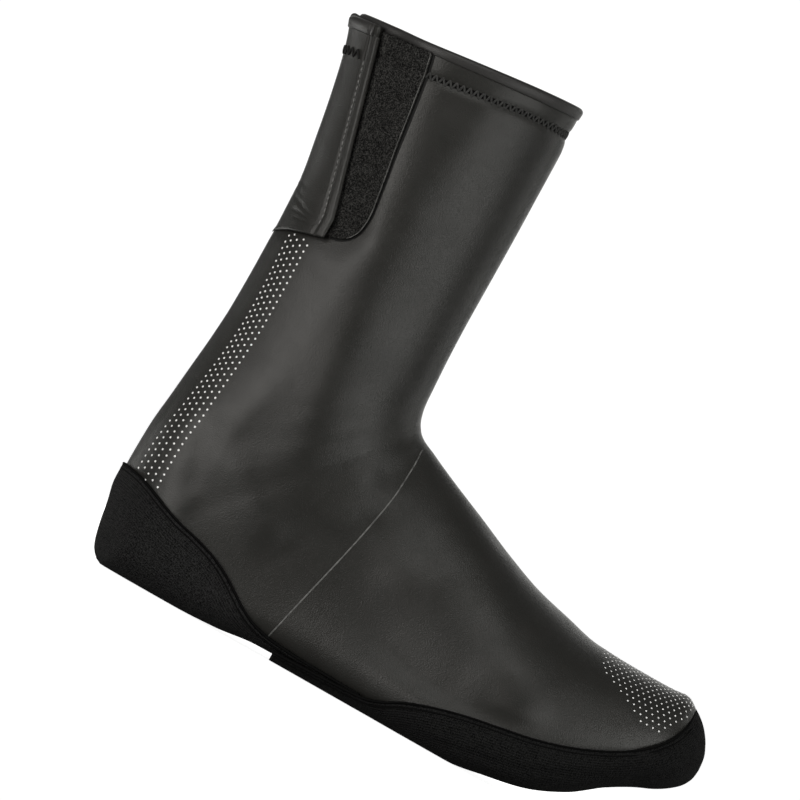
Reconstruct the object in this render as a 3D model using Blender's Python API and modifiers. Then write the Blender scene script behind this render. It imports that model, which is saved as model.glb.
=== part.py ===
# Cycling overshoe for the right foot, standing empty on its sole
# Millimetres below, toe towards +X, outer side towards -Y, up is +Z

import math

import bmesh
import bpy
import numpy as np

MM = 0.001
WALL = 2.5
KNIT = 1.2
SEAT = 0.3
KNIT_OUT = KNIT + SEAT
TAPE = 1.6
FLAP = 2.2
FLAP_HEM = 0.8
FLAP_LIFT = 0.8
BINDING_HIGH = 4.6
BINDING_PROUD = 0.6
FLAP_BINDING_HIGH = 5.2
FLAP_BINDING_ROOM = 0.2

# Rear slit and the dip of the outer wall under the flap
SLIT_FOOT = 158.0
SLIT_OPEN = 173.0
SLIT_GAP = 5.3
SLIT_SEAT = 0.6
DIP = 4.4
DIP_FROM = 162.0
DIP_FULL = 184.0
DIP_LEAD = 5.0
DIP_FADE = 22.0

# Straight front edge of the flap and its slanting lower edge, seen from the side
FLAP_EDGE_LOW = (28.6, 182.6)
FLAP_EDGE_TOP = (5.0, 268.1)
FLAP_FOOT_ROOT = 165.0
FLAP_FOOT_TIP = 172.4
FLAP_TOP = 261.0

# Front sole: where it starts, and how thick its doubled end is
STEP_X = 98.4
STEP_THICK = 3.0
STEP_FADE = 40.0
REAR_END_X = 140.0
LAP_END_X = 158.0

# Cut-outs under the foot: from, to, half width, corner radius
HEEL_CUT = (22.0, 52.0, 16.0, 10.0)
CLEAT_CUT = (153.0, 203.0, 25.0, 14.0)

WALL_COLUMNS = 18
FLAT_COLUMNS = 4

# One row for each section, from the tip of the toe round the heel and up to the collar
# bx bz: point under the foot or behind the leg, tx tz: point on the instep or shin
# half: half width, mid: shift of the middle to the inner side, neck: width high up over width low down
# flat: share of the width that lies flat, low high: lengths of the lower and upper rounds
# ridge: shift of the top line to the inner side
COLUMNS = ("bx", "bz", "tx", "tz", "half", "mid", "neck", "flat", "low", "high", "ridge")
SECTIONS = (
    (286.9, 50.0, 286.9, 50.02, 0.02, 6.0, 1.0, 0.30, 0.01, 0.01, 0.0),
    (286.4, 46.4, 286.4, 54.8, 6.3, 6.0, 1.0, 0.30, 4.0, 4.4, 0.0),
    (284.4, 42.4, 284.4, 60.6, 14.0, 5.8, 1.0, 0.35, 7.0, 10.0, 0.0),
    (280.0, 38.4, 280.0, 67.6, 22.5, 5.3, 0.97, 0.42, 9.0, 16.0, 0.5),
    (274.0, 34.8, 274.0, 72.4, 29.3, 4.6, 0.96, 0.50, 11.0, 22.0, 1.0),
    (266.0, 31.4, 266.0, 75.9, 35.0, 4.0, 0.95, 0.58, 12.0, 27.0, 2.0),
    (255.0, 25.4, 255.0, 75.7, 40.3, 3.0, 0.94, 0.64, 13.0, 31.0, 3.0),
    (240.0, 14.8, 240.0, 75.8, 45.2, 1.8, 0.94, 0.70, 14.0, 38.0, 5.0),
    (222.0, 7.3, 222.0, 76.7, 49.8, 0.5, 0.93, 0.74, 14.0, 43.0, 7.0),
    (205.0, 4.0, 205.0, 80.5, 52.2, -0.4, 0.93, 0.76, 14.0, 49.0, 8.0),
    (188.0, 1.5, 188.0, 84.7, 52.0, -1.5, 0.92, 0.76, 14.0, 56.0, 8.0),
    (170.0, 1.5, 170.0, 91.4, 49.0, -2.6, 0.90, 0.75, 14.0, 62.0, 7.0),
    (150.0, 2.6, 150.0, 100.2, 44.6, -3.0, 0.89, 0.72, 14.0, 68.0, 6.0),
    (130.0, 3.6, 138.0, 105.3, 41.0, -2.8, 0.90, 0.70, 14.0, 68.0, 5.0),
    (110.0, 4.7, 129.0, 109.2, 38.8, -2.2, 0.93, 0.68, 14.0, 66.0, 4.0),
    (90.0, 4.5, 122.0, 112.4, 37.5, -1.4, 0.97, 0.66, 14.0, 62.0, 3.0),
    (70.0, 2.3, 117.0, 114.8, 37.0, -0.8, 1.02, 0.66, 14.0, 60.0, 2.0),
    (50.0, 1.5, 113.5, 116.3, 36.5, -0.3, 1.06, 0.65, 15.0, 58.0, 1.0),
    (30.0, 1.5, 110.8, 117.7, 36.0, 0.0, 1.09, 0.58, 21.0, 56.0, 0.0),
    (13.5, 1.5, 109.0, 119.0, 35.6, 0.0, 1.10, 0.36, 33.0, 54.0, 0.0),
    (8.2, 5.4, 107.9, 120.1, 35.5, 0.0, 1.10, 0.12, 41.0, 53.0, 0.0),
    (5.0, 15.5, 107.0, 121.4, 36.0, 0.0, 1.09, 0.0, 45.0, 52.0, 0.0),
    (2.8, 30.0, 106.0, 123.0, 36.6, 0.0, 1.08, 0.0, 46.0, 51.0, 0.0),
    (1.0, 46.0, 105.2, 124.8, 37.5, 0.0, 1.05, 0.0, 46.0, 50.0, 0.0),
    (1.4, 64.0, 104.5, 127.2, 38.5, 0.0, 1.02, 0.0, 44.0, 49.0, 0.0),
    (3.0, 80.0, 103.9, 130.0, 39.0, 0.0, 1.0, 0.0, 44.0, 49.0, 0.0),
    (4.6, 96.0, 103.5, 133.6, 39.0, 0.0, 1.0, 0.0, 44.0, 48.0, 0.0),
    (6.2, 112.0, 103.2, 139.0, 38.8, 0.0, 1.0, 0.0, 44.0, 48.0, 0.0),
    (7.2, 128.0, 102.8, 146.0, 38.4, 0.0, 1.0, 0.0, 43.0, 49.0, 0.0),
    (7.4, 143.0, 102.4, 154.0, 38.2, 0.0, 1.0, 0.0, 42.0, 50.0, 0.0),
    (7.3, 158.0, 102.1, 164.0, 38.3, 0.0, 1.0, 0.0, 42.0, 51.0, 0.0),
    (7.0, 173.0, 101.9, 177.0, 38.6, 0.0, 1.0, 0.0, 42.0, 52.0, 0.0),
    (6.3, 190.0, 101.9, 193.0, 39.2, 0.0, 1.0, 0.0, 43.0, 52.0, 0.0),
    (3.0, 212.0, 101.8, 215.0, 40.2, 0.0, 1.0, 0.0, 45.0, 53.0, 0.0),
    (-0.8, 233.0, 101.5, 237.0, 41.3, 0.0, 1.0, 0.0, 47.0, 54.0, 0.0),
    (-4.6, 250.0, 101.2, 257.0, 42.2, 0.0, 1.0, 0.0, 49.0, 55.0, 0.0),
    (-7.0, 258.0, 100.3, 265.5, 42.6, 0.0, 1.0, 0.0, 50.0, 55.0, 0.0),
    (-9.0, 263.4, 100.2, 274.6, 43.0, 0.0, 1.0, 0.0, 51.0, 56.0, 0.0),
)

# Top edges of the knit pieces and the outline of the tape, seen from the side: x, z
COUNTER_EDGE = (
    (-20.0, 44.4), (0.8, 43.8), (7.9, 42.9), (15.1, 40.8), (24.9, 37.0), (35.2, 33.5), (44.8, 31.2),
    (54.8, 28.0), (63.2, 23.9), (71.0, 18.9), (77.8, 14.4), (85.8, 10.4), (94.0, 8.4), (112.0, 7.0),
    (130.0, 6.6), (REAR_END_X, 6.5),
)
RAND_EDGE = (
    (STEP_X, 4.2), (125.0, 5.0), (142.0, 6.0), (150.0, 8.6), (158.1, 13.0), (171.8, 18.1), (186.3, 21.8),
    (201.2, 24.6), (216.3, 27.4), (230.5, 31.4), (243.9, 36.7), (252.5, 41.1), (260.7, 46.6),
    (267.8, 53.4), (272.4, 60.4), (274.2, 67.0), (274.3, 90.0),
)
TAPE_OUTLINE = (
    (-2.0, 267.5), (26.0, 269.6), (29.2, 268.6), (30.6, 265.8), (33.0, 255.2), (35.2, 241.0), (37.6, 224.0),
    (40.9, 203.0), (42.2, 191.0), (41.4, 184.6), (38.6, 179.6), (33.0, 176.2), (29.4, 175.4), (28.0, 183.0),
    (19.0, 192.0), (9.0, 230.0), (0.0, 260.0),
)

table = {name: np.array([row[i] for row in SECTIONS]) for i, name in enumerate(COLUMNS)}
LAST = len(SECTIONS) - 1


def smooth(start, end, value):
    share = np.clip((value - start) / (end - start), 0.0, 1.0)
    return share * share * (3.0 - 2.0 * share)


# Monotone cubic through the rows, so that nothing bulges between two sections
def row_distances():
    under = np.hypot(np.diff(table["bx"]), np.diff(table["bz"]))
    over = np.hypot(np.diff(table["tx"]), np.diff(table["tz"]))
    return np.concatenate(([0.0], np.cumsum(0.5 * (under + over))))


def row_slopes(along, values):
    step = np.diff(along)
    rate = np.diff(values) / step
    slope = np.zeros_like(values)
    slope[0] = rate[0]
    slope[-1] = rate[-1]
    for i in range(1, len(values) - 1):
        if rate[i - 1] * rate[i] > 0.0:
            before = 2.0 * step[i] + step[i - 1]
            after = step[i] + 2.0 * step[i - 1]
            slope[i] = (before + after) / (before / rate[i - 1] + after / rate[i])
    return slope


ALONG = row_distances()
slopes = {name: row_slopes(ALONG, table[name]) for name in COLUMNS}


def section(at):
    i = min(max(int(np.searchsorted(ALONG, at)) - 1, 0), LAST - 1)
    step = ALONG[i + 1] - ALONG[i]
    u = (at - ALONG[i]) / step
    found = {}
    for name in COLUMNS:
        y = table[name]
        m = slopes[name]
        rise = y[i] * (2 * u**3 - 3 * u**2 + 1) + y[i + 1] * (3 * u**2 - 2 * u**3)
        found[name] = rise + step * (m[i] * (u**3 - 2 * u**2 + u) + m[i + 1] * (u**3 - u**2))
    return found


def station_behind(height):
    # Distance along the rows at which the line behind the leg has this height
    back = int(np.argmin(np.abs(table["bx"][:22] - 8.2)))
    low, high = ALONG[back], ALONG[-1]
    for _ in range(40):
        middle = 0.5 * (low + high)
        if section(middle)["bz"] < height:
            low = middle
        else:
            high = middle
    return 0.5 * (low + high)


# Half of a section as a line from the lower point to the upper one: side -1 is the outer half
def half_line(row, side):
    rise = math.hypot(row["tx"] - row["bx"], row["tz"] - row["bz"])
    fit = min(1.0, 0.98 * rise / (row["low"] + row["high"]))
    low = fit * row["low"]
    high = fit * row["high"]
    wide = row["half"]
    neck = row["neck"] * wide
    flat = row["flat"] * wide
    top = side * row["ridge"]
    turn = np.linspace(0.0, 0.5 * math.pi, 25)
    climb = np.linspace(0.0, 1.0, 13)[1:-1]
    out = np.concatenate((
        np.linspace(0.0, flat, 7)[:-1],
        flat + (wide - flat) * np.sin(turn),
        wide + (neck - wide) * smooth(0.0, 1.0, climb),
        top + (neck - top) * np.cos(turn),
    ))
    up = np.concatenate((
        np.zeros(6),
        low * (1.0 - np.cos(turn)),
        low + (rise - high - low) * climb,
        rise - high + high * np.sin(turn),
    ))
    share = up / rise
    points = np.stack((
        row["bx"] + (row["tx"] - row["bx"]) * share,
        row["mid"] + side * out,
        row["bz"] + (row["tz"] - row["bz"]) * share,
    ), axis=1)
    length = np.concatenate(([0.0], np.cumsum(np.linalg.norm(np.diff(points, axis=0), axis=1))))
    return points, length, flat


def sample(line, length, at):
    return np.stack([np.interp(at, length, line[:, k]) for k in range(3)], axis=1)


# Points of one section, from the lower middle over the outer half, the top and the inner half
def ring(row, with_flat, slit=0.0):
    halves = []
    for side in (-1, 1):
        line, length, flat = half_line(row, side)
        start = max(flat, slit) if side > 0 else flat
        wall = np.linspace(start, length[-1], WALL_COLUMNS + 1)
        if with_flat:
            floor = np.linspace(0.0, flat, FLAT_COLUMNS + 1)[:-1]
            wall = np.concatenate((floor, wall))
        halves.append(sample(line, length, wall))
    return np.concatenate((halves[0], halves[1][::-1][1:]))


# Triangles with the same diagonal in every piece, so that the pieces lie parallel
def grid_faces(rows, columns):
    faces = []
    for r in range(rows - 1):
        for c in range(columns - 1):
            a = r * columns + c
            faces.append((a, a + 1, a + columns + 1))
            faces.append((a, a + columns + 1, a + columns))
    return faces


parts = bpy.data.collections.new("cycling_overshoe")
cutters = bpy.data.collections.new("cutters")
for old in list(bpy.data.objects):
    bpy.data.objects.remove(old)
bpy.context.scene.collection.children.link(parts)
bpy.context.scene.collection.children.link(cutters)


def make_object(name, points, faces, collection=parts):
    mesh = bpy.data.meshes.new(name)
    mesh.from_pydata([tuple(p) for p in np.asarray(points) * MM], [], faces)
    work = bmesh.new()
    work.from_mesh(mesh)
    bmesh.ops.remove_doubles(work, verts=work.verts, dist=0.05 * MM)
    bmesh.ops.dissolve_degenerate(work, edges=work.edges, dist=0.02 * MM)
    work.to_mesh(mesh)
    work.free()
    thing = bpy.data.objects.new(name, mesh)
    collection.objects.link(thing)
    return thing


# Moves each point of a surface along its normal by a distance worked out from its place
def shift(thing, distance):
    mesh = thing.data
    normals = np.array([tuple(n.vector) for n in mesh.vertex_normals])
    places = np.array([tuple(v.co) for v in mesh.vertices]) / MM
    moved = places + normals * np.reshape(distance(places), (-1, 1))
    mesh.vertices.foreach_set("co", (moved * MM).ravel())
    mesh.update()


def thicken(thing, thickness, share=None, least=1.0):
    wall = thing.modifiers.new("wall", "SOLIDIFY")
    wall.thickness = thickness * MM
    wall.offset = -1.0
    wall.use_even_offset = True
    wall.use_rim = True
    if share is not None:
        group = thing.vertex_groups.new(name="thick")
        for vertex in thing.data.vertices:
            weight = float(share(np.array(vertex.co) / MM))
            group.add([vertex.index], weight, "REPLACE")
        wall.vertex_group = "thick"
        wall.thickness_vertex_group = least


def cut(thing, cutter, operation):
    trim = thing.modifiers.new("trim", "BOOLEAN")
    trim.operation = operation
    trim.solver = "EXACT"
    trim.object = cutter


def hide_cutter(thing):
    thing.hide_render = True
    thing.display_type = "WIRE"
    return thing


# Straight prism through a flat outline: across goes sideways, otherwise upright
def prism(name, outline, low, high, across):
    count = len(outline)
    if across:
        points = [(a, low, b) for a, b in outline] + [(a, high, b) for a, b in outline]
    else:
        points = [(a, b, low) for a, b in outline] + [(a, b, high) for a, b in outline]
    faces = [tuple(range(count)), tuple(range(2 * count - 1, count - 1, -1))]
    for i in range(count):
        j = (i + 1) % count
        faces.append((i, i + count, j + count, j))
    thing = make_object(name, points, faces, cutters)
    work = bmesh.new()
    work.from_mesh(thing.data)
    bmesh.ops.recalc_face_normals(work, faces=work.faces)
    work.to_mesh(thing.data)
    work.free()
    return hide_cutter(thing)


def rounded_outline(start, end, half, corner):
    outline = []
    corners = ((end, half, 0), (start, half, 1), (start, -half, 2), (end, -half, 3))
    for x, y, quarter in corners:
        middle_x = x - corner if x == end else x + corner
        middle_y = y - math.copysign(corner, y)
        for step in range(6):
            angle = math.radians(90.0 * quarter + 18.0 * step)
            outline.append((middle_x + corner * math.cos(angle), middle_y + corner * math.sin(angle)))
    return outline


# The slit opens as a V from its foot, and the outer wall dips in under the flap
def slit_width(height):
    return SLIT_GAP * float(np.clip((height - SLIT_FOOT) / (SLIT_OPEN - SLIT_FOOT), 0.0, 1.0))


def flap_edge(height):
    lean = (FLAP_EDGE_TOP[0] - FLAP_EDGE_LOW[0]) / (FLAP_EDGE_TOP[1] - FLAP_EDGE_LOW[1])
    return FLAP_EDGE_LOW[0] + lean * (np.maximum(height, FLAP_EDGE_LOW[1]) - FLAP_EDGE_LOW[1])


def dip(places):
    x, y, z = places.T
    depth = DIP * smooth(DIP_FROM, DIP_FULL, z)
    ahead = 1.0 - smooth(DIP_LEAD, DIP_FADE, x - flap_edge(z))
    return np.where(y < 0.5, -depth * ahead, 0.0)


def rows_between(first, last):
    return [section(at) for at in ALONG[first:last + 1]]


def row_index(under_x):
    return int(np.argmin(np.abs(table["bx"][:20] - under_x)))


# Upper: wall from the edge of the sole to the collar, open below and slit behind
rings = []
for row in rows_between(0, LAST):
    rings.append(ring(row, False, slit_width(row["bz"])))
columns = 2 * WALL_COLUMNS + 1
upper = make_object("upper", np.concatenate(rings), grid_faces(len(rings), columns))
shift(upper, dip)
thicken(upper, WALL)


# Knit soles: the same form, grown by the seat and the knit, closed under the foot
# The front sole laps over the end of the rear one and stays level there
def rear_growth(x):
    return np.full(np.shape(x), KNIT_OUT)


def front_growth(x):
    return KNIT_OUT * (2.0 - smooth(REAR_END_X, LAP_END_X, x))


def sole_surface(name, first, last, growth, level):
    found = []
    for row in rows_between(first, last):
        if level and 85.0 < row["bx"] < 175.0:
            row["bz"] = min(row["bz"], float(growth(row["bx"])))
        found.append(ring(row, True))
    wide = 2 * (WALL_COLUMNS + FLAT_COLUMNS) + 1
    thing = make_object(name, np.concatenate(found), grid_faces(len(found), wide))
    shift(thing, lambda places: growth(places[:, 0]))
    return thing


sole_rear = sole_surface("sole_rear", row_index(170.0), row_index(8.2) + 6, rear_growth, False)
thicken(sole_rear, KNIT)
rear_side = list(COUNTER_EDGE) + [(REAR_END_X, -10.0), (-20.0, -10.0)]
cut(sole_rear, prism("rear_outline", rear_side, -80.0, 80.0, True), "INTERSECT")
cut(sole_rear, prism("heel_hole", rounded_outline(*HEEL_CUT), -6.0, 12.0, False), "DIFFERENCE")


def step_share(place):
    under = place[2] < 0.2
    return (1.0 - smooth(STEP_X, STEP_X + STEP_FADE, place[0])) * under


sole_front = sole_surface("sole_front", 0, row_index(70.0), front_growth, True)
thicken(sole_front, STEP_THICK, step_share, KNIT / STEP_THICK)
front_side = list(RAND_EDGE) + [(310.0, 90.0), (310.0, -10.0), (STEP_X, -10.0)]
cut(sole_front, prism("front_outline", front_side, -80.0, 80.0, True), "INTERSECT")
cut(sole_front, prism("cleat_hole", rounded_outline(*CLEAT_CUT), -6.0, 16.0, False), "DIFFERENCE")


# Closure flap: from the inner edge of the slit round the back to its slanting front edge
FLAP_ROWS = 12
FLAP_COLUMNS = 9


def flap_place(at, across):
    row = section(at)
    outer, outer_length, _ = half_line(row, -1)
    inner, inner_length, _ = half_line(row, 1)
    ahead = outer[:, 0] - flap_edge(outer[:, 2])
    reach = float(np.interp(0.0, ahead, outer_length))
    root = max(slit_width(row["bz"]) - SLIT_SEAT, 0.0)
    way = -root + across * (reach + root)
    if way < 0.0:
        return sample(inner, inner_length, [-way])[0]
    return sample(outer, outer_length, [way])[0]


flap_points = []
flap_across = []
for r in range(FLAP_ROWS + 1):
    for c in range(FLAP_COLUMNS + 1):
        share = c / FLAP_COLUMNS
        foot = FLAP_FOOT_ROOT + share * (FLAP_FOOT_TIP - FLAP_FOOT_ROOT)
        height = foot + (FLAP_TOP - foot) * r / FLAP_ROWS
        flap_points.append(flap_place(station_behind(height), share))
        flap_across.append(share)
flap_across = np.array(flap_across)


def flap_thickness(height):
    return FLAP_HEM + (FLAP - FLAP_HEM) * smooth(168.0, 192.0, height)


def flap_offset(places):
    z = places[:, 2]
    clear = flap_thickness(z) + SEAT - DIP * smooth(DIP_FROM, DIP_FULL, z)
    return np.maximum(FLAP_LIFT * flap_across, clear)


closure_flap = make_object("closure_flap", flap_points, grid_faces(FLAP_ROWS + 1, FLAP_COLUMNS + 1))
shift(closure_flap, flap_offset)
thicken(closure_flap, FLAP, lambda place: (flap_thickness(place[2]) - FLAP_HEM) / (FLAP - FLAP_HEM),
        FLAP_HEM / FLAP)


# Loop tape: cut from the dipped outer wall, so that it lies on it
tape_first = row_index(8.2) + 10
tape_rings = [ring(row, False, SLIT_GAP)[:WALL_COLUMNS // 2 + 3] for row in rows_between(tape_first, LAST)]
loop_tape = make_object("loop_tape", np.concatenate(tape_rings),
                        grid_faces(len(tape_rings), WALL_COLUMNS // 2 + 3))
shift(loop_tape, dip)
shift(loop_tape, lambda places: np.full(len(places), SEAT + TAPE))
thicken(loop_tape, TAPE)
cut(loop_tape, prism("tape_outline", TAPE_OUTLINE, -80.0, 5.0, True), "INTERSECT")


# Rolled bindings: a rounded bar along the top edge of a wall
def bar(name, edge, below, normals, wall, high):
    up = edge - below
    up /= np.linalg.norm(up, axis=1)[:, None]
    outside = BINDING_PROUD
    inside = -wall - BINDING_PROUD
    middle = 0.5 * (outside + inside)
    reach = 0.5 * (outside - inside)
    profile = [(outside, SEAT)]
    for step in range(6):
        angle = math.radians(36.0 * step)
        profile.append((middle + reach * math.cos(angle), SEAT + high - reach + reach * math.sin(angle)))
    profile.append((inside, SEAT))
    points = []
    for place, normal, rise in zip(edge, normals, up):
        for away, tall in profile:
            points.append(place + away * normal + tall * rise)
    count = len(profile)
    faces = [tuple(range(count - 1, -1, -1))]
    for r in range(len(edge) - 1):
        for c in range(count):
            d = (c + 1) % count
            faces.append((r * count + c, r * count + d, (r + 1) * count + d, (r + 1) * count + c))
    last = (len(edge) - 1) * count
    faces.append(tuple(range(last, last + count)))
    thing = make_object(name, points, faces)
    work = bmesh.new()
    work.from_mesh(thing.data)
    bmesh.ops.recalc_face_normals(work, faces=work.faces)
    work.to_mesh(thing.data)
    work.free()
    return thing


def edge_normals(edge, below, outward):
    along = np.gradient(edge, axis=0)
    normals = np.cross(along, edge - below)
    normals /= np.linalg.norm(normals, axis=1)[:, None]
    if np.sum(normals[len(edge) // 2] * outward) < 0.0:
        normals = -normals
    return normals


def surface_rows(thing, wide):
    places = np.array([tuple(v.co) for v in thing.data.vertices]) / MM
    return places[-wide:], places[-2 * wide:-wide]


rim, rim_below = surface_rows(upper, columns)
collar_binding = bar("collar_binding", rim, rim_below, edge_normals(rim, rim_below, (1.0, 0.0, 0.0)),
                     WALL, BINDING_HIGH)
flap_rim, flap_below = surface_rows(closure_flap, FLAP_COLUMNS + 1)
for rim_row in (flap_rim, flap_below):
    rim_row[0] += FLAP_BINDING_ROOM * (rim_row[1] - rim_row[0])
flap_binding = bar("flap_binding", flap_rim, flap_below, edge_normals(flap_rim, flap_below, (-1.0, -1.0, 0.0)),
                   FLAP, FLAP_BINDING_HIGH)

# Colours: coated neoprene, knit, tape and edge
LOOKS = {
    "upper": (0.030, 0.028, 0.027, 0.45),
    "sole_rear": (0.012, 0.012, 0.012, 0.80),
    "sole_front": (0.012, 0.012, 0.012, 0.80),
    "closure_flap": (0.030, 0.028, 0.027, 0.45),
    "loop_tape": (0.008, 0.008, 0.008, 0.95),
    "collar_binding": (0.045, 0.043, 0.042, 0.40),
    "flap_binding": (0.045, 0.043, 0.042, 0.40),
}
for thing in parts.objects:
    red, green, blue, rough = LOOKS[thing.name]
    material = bpy.data.materials.new(thing.name)
    material.use_nodes = True
    shader = material.node_tree.nodes["Principled BSDF"]
    shader.inputs["Base Color"].default_value = (red, green, blue, 1.0)
    shader.inputs["Roughness"].default_value = rough
    thing.data.materials.append(material)

# The origin goes under the middle of the whole
bpy.context.view_layer.update()
graph = bpy.context.evaluated_depsgraph_get()
lows = []
highs = []
for thing in parts.objects:
    shape = thing.evaluated_get(graph).to_mesh()
    places = np.array([tuple(v.co) for v in shape.vertices])
    lows.append(places.min(axis=0))
    highs.append(places.max(axis=0))
low = np.min(lows, axis=0)
high = np.max(highs, axis=0)
origin = (0.5 * (low[0] + high[0]), 0.5 * (low[1] + high[1]), low[2])
for thing in list(parts.objects) + list(cutters.objects):
    thing.location = (-origin[0], -origin[1], -origin[2])
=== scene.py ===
import math
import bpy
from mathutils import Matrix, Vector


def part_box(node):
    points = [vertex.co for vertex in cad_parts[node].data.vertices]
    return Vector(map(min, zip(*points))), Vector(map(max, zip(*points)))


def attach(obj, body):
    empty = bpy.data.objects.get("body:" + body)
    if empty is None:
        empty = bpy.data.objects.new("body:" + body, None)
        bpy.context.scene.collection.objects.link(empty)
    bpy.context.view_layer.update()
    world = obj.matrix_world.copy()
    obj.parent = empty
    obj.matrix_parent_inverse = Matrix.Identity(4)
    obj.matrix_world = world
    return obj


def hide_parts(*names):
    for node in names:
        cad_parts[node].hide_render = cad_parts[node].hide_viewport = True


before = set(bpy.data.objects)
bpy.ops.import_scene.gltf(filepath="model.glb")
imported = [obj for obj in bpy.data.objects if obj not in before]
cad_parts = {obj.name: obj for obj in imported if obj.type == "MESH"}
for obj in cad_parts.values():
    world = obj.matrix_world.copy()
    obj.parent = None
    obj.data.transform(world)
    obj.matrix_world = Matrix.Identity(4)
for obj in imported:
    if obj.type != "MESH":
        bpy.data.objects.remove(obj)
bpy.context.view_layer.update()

from types import SimpleNamespace

import bmesh
import bpy
import numpy as np
from mathutils import Matrix, Vector

# Millimetres: x from the heel to the toe, -y the outer side of a right overshoe, z up from the floor
mm = 0.001
rng = np.random.default_rng(11)

# Form of the overshoe, the same sections as its solids: from the tip of the toe round the heel to the collar
# bx bz under the sole or behind the shaft, tx tz on the instep or before the shaft, half width, mid shift,
# neck over half, flat share below, low and high rounds, ridge shift of the top line
form = {
    "columns": ("bx", "bz", "tx", "tz", "half", "mid", "neck", "flat", "low", "high", "ridge"),
    "rows": (
        (286.9, 50, 286.9, 50.02, 0.02, 6, 1, 0.30, 0.01, 0.01, 0),
        (286.4, 46.4, 286.4, 54.8, 6.3, 6, 1, 0.30, 4, 4.4, 0),
        (284.4, 42.4, 284.4, 60.6, 14, 5.8, 1, 0.35, 7, 10, 0),
        (280, 38.4, 280, 67.6, 22.5, 5.3, 0.97, 0.42, 9, 16, 0.5),
        (274, 34.8, 274, 72.4, 29.3, 4.6, 0.96, 0.50, 11, 22, 1),
        (266, 31.4, 266, 75.9, 35, 4, 0.95, 0.58, 12, 27, 2),
        (255, 25.4, 255, 75.7, 40.3, 3, 0.94, 0.64, 13, 31, 3),
        (240, 14.8, 240, 75.8, 45.2, 1.8, 0.94, 0.70, 14, 38, 5),
        (222, 7.3, 222, 76.7, 49.8, 0.5, 0.93, 0.74, 14, 43, 7),
        (205, 4, 205, 80.5, 52.2, -0.4, 0.93, 0.76, 14, 49, 8),
        (188, 1.5, 188, 84.7, 52, -1.5, 0.92, 0.76, 14, 56, 8),
        (170, 1.5, 170, 91.4, 49, -2.6, 0.90, 0.75, 14, 62, 7),
        (150, 2.6, 150, 100.2, 44.6, -3, 0.89, 0.72, 14, 68, 6),
        (130, 3.6, 138, 105.3, 41, -2.8, 0.90, 0.70, 14, 68, 5),
        (110, 4.7, 129, 109.2, 38.8, -2.2, 0.93, 0.68, 14, 66, 4),
        (90, 4.5, 122, 112.4, 37.5, -1.4, 0.97, 0.66, 14, 62, 3),
        (70, 2.3, 117, 114.8, 37, -0.8, 1.02, 0.66, 14, 60, 2),
        (50, 1.5, 113.5, 116.3, 36.5, -0.3, 1.06, 0.65, 15, 58, 1),
        (30, 1.5, 110.8, 117.7, 36, 0, 1.09, 0.58, 21, 56, 0),
        (13.5, 1.5, 109, 119, 35.6, 0, 1.10, 0.36, 33, 54, 0),
        (8.2, 5.4, 107.9, 120.1, 35.5, 0, 1.10, 0.12, 41, 53, 0),
        (5, 15.5, 107, 121.4, 36, 0, 1.09, 0, 45, 52, 0),
        (2.8, 30, 106, 123, 36.6, 0, 1.08, 0, 46, 51, 0),
        (1, 46, 105.2, 124.8, 37.5, 0, 1.05, 0, 46, 50, 0),
        (1.4, 64, 104.5, 127.2, 38.5, 0, 1.02, 0, 44, 49, 0),
        (3, 80, 103.9, 130, 39, 0, 1, 0, 44, 49, 0),
        (4.6, 96, 103.5, 133.6, 39, 0, 1, 0, 44, 48, 0),
        (6.2, 112, 103.2, 139, 38.8, 0, 1, 0, 44, 48, 0),
        (7.2, 128, 102.8, 146, 38.4, 0, 1, 0, 43, 49, 0),
        (7.4, 143, 102.4, 154, 38.2, 0, 1, 0, 42, 50, 0),
        (7.3, 158, 102.1, 164, 38.3, 0, 1, 0, 42, 51, 0),
        (7, 173, 101.9, 177, 38.6, 0, 1, 0, 42, 52, 0),
        (6.3, 190, 101.9, 193, 39.2, 0, 1, 0, 43, 52, 0),
        (3, 212, 101.8, 215, 40.2, 0, 1, 0, 45, 53, 0),
        (-0.8, 233, 101.5, 237, 41.3, 0, 1, 0, 47, 54, 0),
        (-4.6, 250, 101.2, 257, 42.2, 0, 1, 0, 49, 55, 0),
        (-7, 258, 100.3, 265.5, 42.6, 0, 1, 0, 50, 55, 0),
        (-9, 263.4, 100.2, 274.6, 43, 0, 1, 0, 51, 56, 0),
    ),
    "wall": 2.5,
    "heelRow": 20,  # first row behind the heel
    "midShift": 1.03,  # middle of the solids' box lies this far to the outer side of the sections' middle
    "turnSteps": 49, "climbSteps": 25, "floorSteps": 9,  # points in rounds, side and floor of a half
}
names = form["columns"]
table = {name: np.array([row[i] for row in form["rows"]], float) for i, name in enumerate(names)}
tipX = form["rows"][0][0]
shift = np.array([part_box("upper")[1].x / mm - tipX, form["midShift"], 0.0])


def ease(start, end, value):
    share = np.clip((value - start) / (end - start), 0.0, 1.0)
    return share * share * (3.0 - 2.0 * share)


def hump(far, wide):
    return np.exp(-((far / wide) ** 2))


def unit(vectors):
    return vectors / np.maximum(np.linalg.norm(vectors, axis=-1, keepdims=True), 1e-9)


def runLength(points):
    steps = np.linalg.norm(np.diff(points, axis=0), axis=1)
    return np.concatenate(([0.0], np.cumsum(steps)))


def slopesOf(at, values):  # monotone cubic, so nothing bulges between two rows
    step = np.diff(at)
    rate = np.diff(values) / step
    slope = np.zeros_like(values)
    slope[0], slope[-1] = rate[0], rate[-1]
    for i in range(1, len(values) - 1):
        if rate[i - 1] * rate[i] > 0.0:
            before = 2.0 * step[i] + step[i - 1]
            after = step[i] + 2.0 * step[i - 1]
            slope[i] = (before + after) / (before / rate[i - 1] + after / rate[i])
    return slope


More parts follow.
